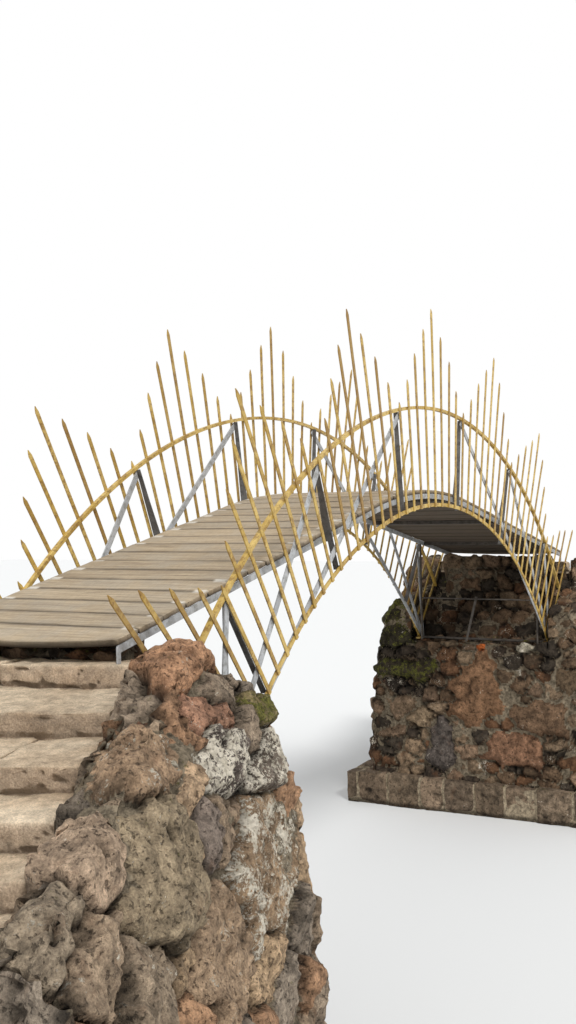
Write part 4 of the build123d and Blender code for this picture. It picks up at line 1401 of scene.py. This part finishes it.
class FOOTBRIDGE_OT_set_stage(bpy.types.Operator):
    """Sets the floor, the soft light and the camera"""

    bl_idname = "footbridge.set_stage"
    bl_label = "Set the stage"

    def execute(self, context):
        settings = context.scene.footbridge_stage
        context.scene.view_settings.view_transform = "Standard"
        self.floor(settings)
        self.sky(context, settings)
        self.camera(context)
        return {"FINISHED"}

    def floor(self, settings):
        reach, roughness = 60.0, 0.9
        corners = [(x * reach, y * reach, 0) for x, y in ((-1, -1), (1, -1), (1, 1), (-1, 1))]
        mesh = bpy.data.meshes.new("floor")
        mesh.from_pydata(corners, [], [(0, 1, 2, 3)])
        material = bpy.data.materials.new("floor")
        material.use_nodes = True
        surface = material.node_tree.nodes["Principled BSDF"]
        surface.inputs["Base Color"].default_value = (*settings.floor_colour, 1)
        surface.inputs["Roughness"].default_value = roughness
        mesh.materials.append(material)
        floor = bpy.data.objects.new("floor", mesh)
        bpy.context.scene.collection.objects.link(floor)

    def sky(self, context, settings):
        """Soft light from all round, white where a camera, mirror or glass ray meets it, and a broad sun."""
        world = bpy.data.worlds.new("sky")
        world.use_nodes = True
        context.scene.world = world
        tree = world.node_tree
        light = tree.nodes["Background"]
        light.inputs["Color"].default_value = SKY_COLOUR
        light.inputs["Strength"].default_value = settings.sky_strength
        white = tree.nodes.new("ShaderNodeBackground")
        white.inputs["Color"].default_value = (1, 1, 1, 1)
        path = tree.nodes.new("ShaderNodeLightPath")
        seen = path.outputs["Is Camera Ray"]
        for name in ("Is Glossy Ray", "Is Transmission Ray"):
            either = tree.nodes.new("ShaderNodeMath")
            either.operation = "MAXIMUM"
            tree.links.new(seen, either.inputs[0])
            tree.links.new(path.outputs[name], either.inputs[1])
            seen = either.outputs[0]
        mix = tree.nodes.new("ShaderNodeMixShader")
        tree.links.new(seen, mix.inputs[0])
        tree.links.new(light.outputs[0], mix.inputs[1])
        tree.links.new(white.outputs[0], mix.inputs[2])
        tree.links.new(mix.outputs[0], tree.nodes["World Output"].inputs["Surface"])
        sun = bpy.data.lights.new("sun", "SUN")
        sun.energy = settings.sun_strength
        sun.angle = SUN_WIDTH
        lamp = bpy.data.objects.new("sun", sun)
        lamp.rotation_euler = SUN_DIRECTION.to_track_quat("Z", "Y").to_euler()
        context.scene.collection.objects.link(lamp)

    def camera(self, context):
        heading, pitch, roll = EYE_TURN
        level = math.cos(pitch)
        ahead = Vector((math.cos(heading) * level, math.sin(heading) * level, math.sin(pitch)))
        right = Vector((math.sin(heading), -math.cos(heading), 0))
        up = right.cross(ahead)
        across = math.cos(roll) * right + math.sin(roll) * up
        upright = math.cos(roll) * up - math.sin(roll) * right
        lens = bpy.data.cameras.new("camera")
        lens.sensor_fit = "VERTICAL"
        lens.sensor_height = SENSOR_HEIGHT
        lens.lens = LENS_LENGTH
        camera = bpy.data.objects.new("camera", lens)
        turn = Matrix((across, upright, -ahead)).transposed()
        camera.matrix_world = Matrix.Translation(EYE) @ turn.to_4x4()
        context.scene.collection.objects.link(camera)
        context.scene.camera = camera


OPERATORS = (
    FOOTBRIDGE_OT_build_walls,
    FOOTBRIDGE_OT_lay_steps,
    FOOTBRIDGE_OT_lay_planks,
    FOOTBRIDGE_OT_set_rays,
    FOOTBRIDGE_OT_paint_iron,
    FOOTBRIDGE_OT_set_stage,
)
SETTINGS = {
    "footbridge_masonry": MasonrySettings,
    "footbridge_deck": DeckSettings,
    "footbridge_iron": IronSettings,
    "footbridge_stage": StageSettings,
}


class FOOTBRIDGE_PT_panel(bpy.types.Panel):
    """Lists the parts of the footbridge and their sizes and colours"""

    bl_label = "Footbridge"
    bl_space_type = "VIEW_3D"
    bl_region_type = "UI"
    bl_category = "Footbridge"

    def draw(self, context):
        for operator in OPERATORS:
            self.layout.operator(operator.bl_idname)
        for name, group in SETTINGS.items():
            box = self.layout.box()
            for key in group.__annotations__:
                box.prop(getattr(context.scene, name), key)


def register():
    for group in SETTINGS.values():
        bpy.utils.register_class(group)
    for name, group in SETTINGS.items():
        setattr(bpy.types.Scene, name, PointerProperty(type=group))
    for item in (*OPERATORS, FOOTBRIDGE_PT_panel):
        bpy.utils.register_class(item)


def unregister():
    for item in (FOOTBRIDGE_PT_panel, *reversed(OPERATORS)):
        bpy.utils.unregister_class(item)
    for name, group in SETTINGS.items():
        delattr(bpy.types.Scene, name)
        bpy.utils.unregister_class(group)


def main():
    register()
    for operator in OPERATORS:
        group, name = operator.bl_idname.split(".")
        getattr(getattr(bpy.ops, group), name)()


if __name__ == "__main__":
    main()
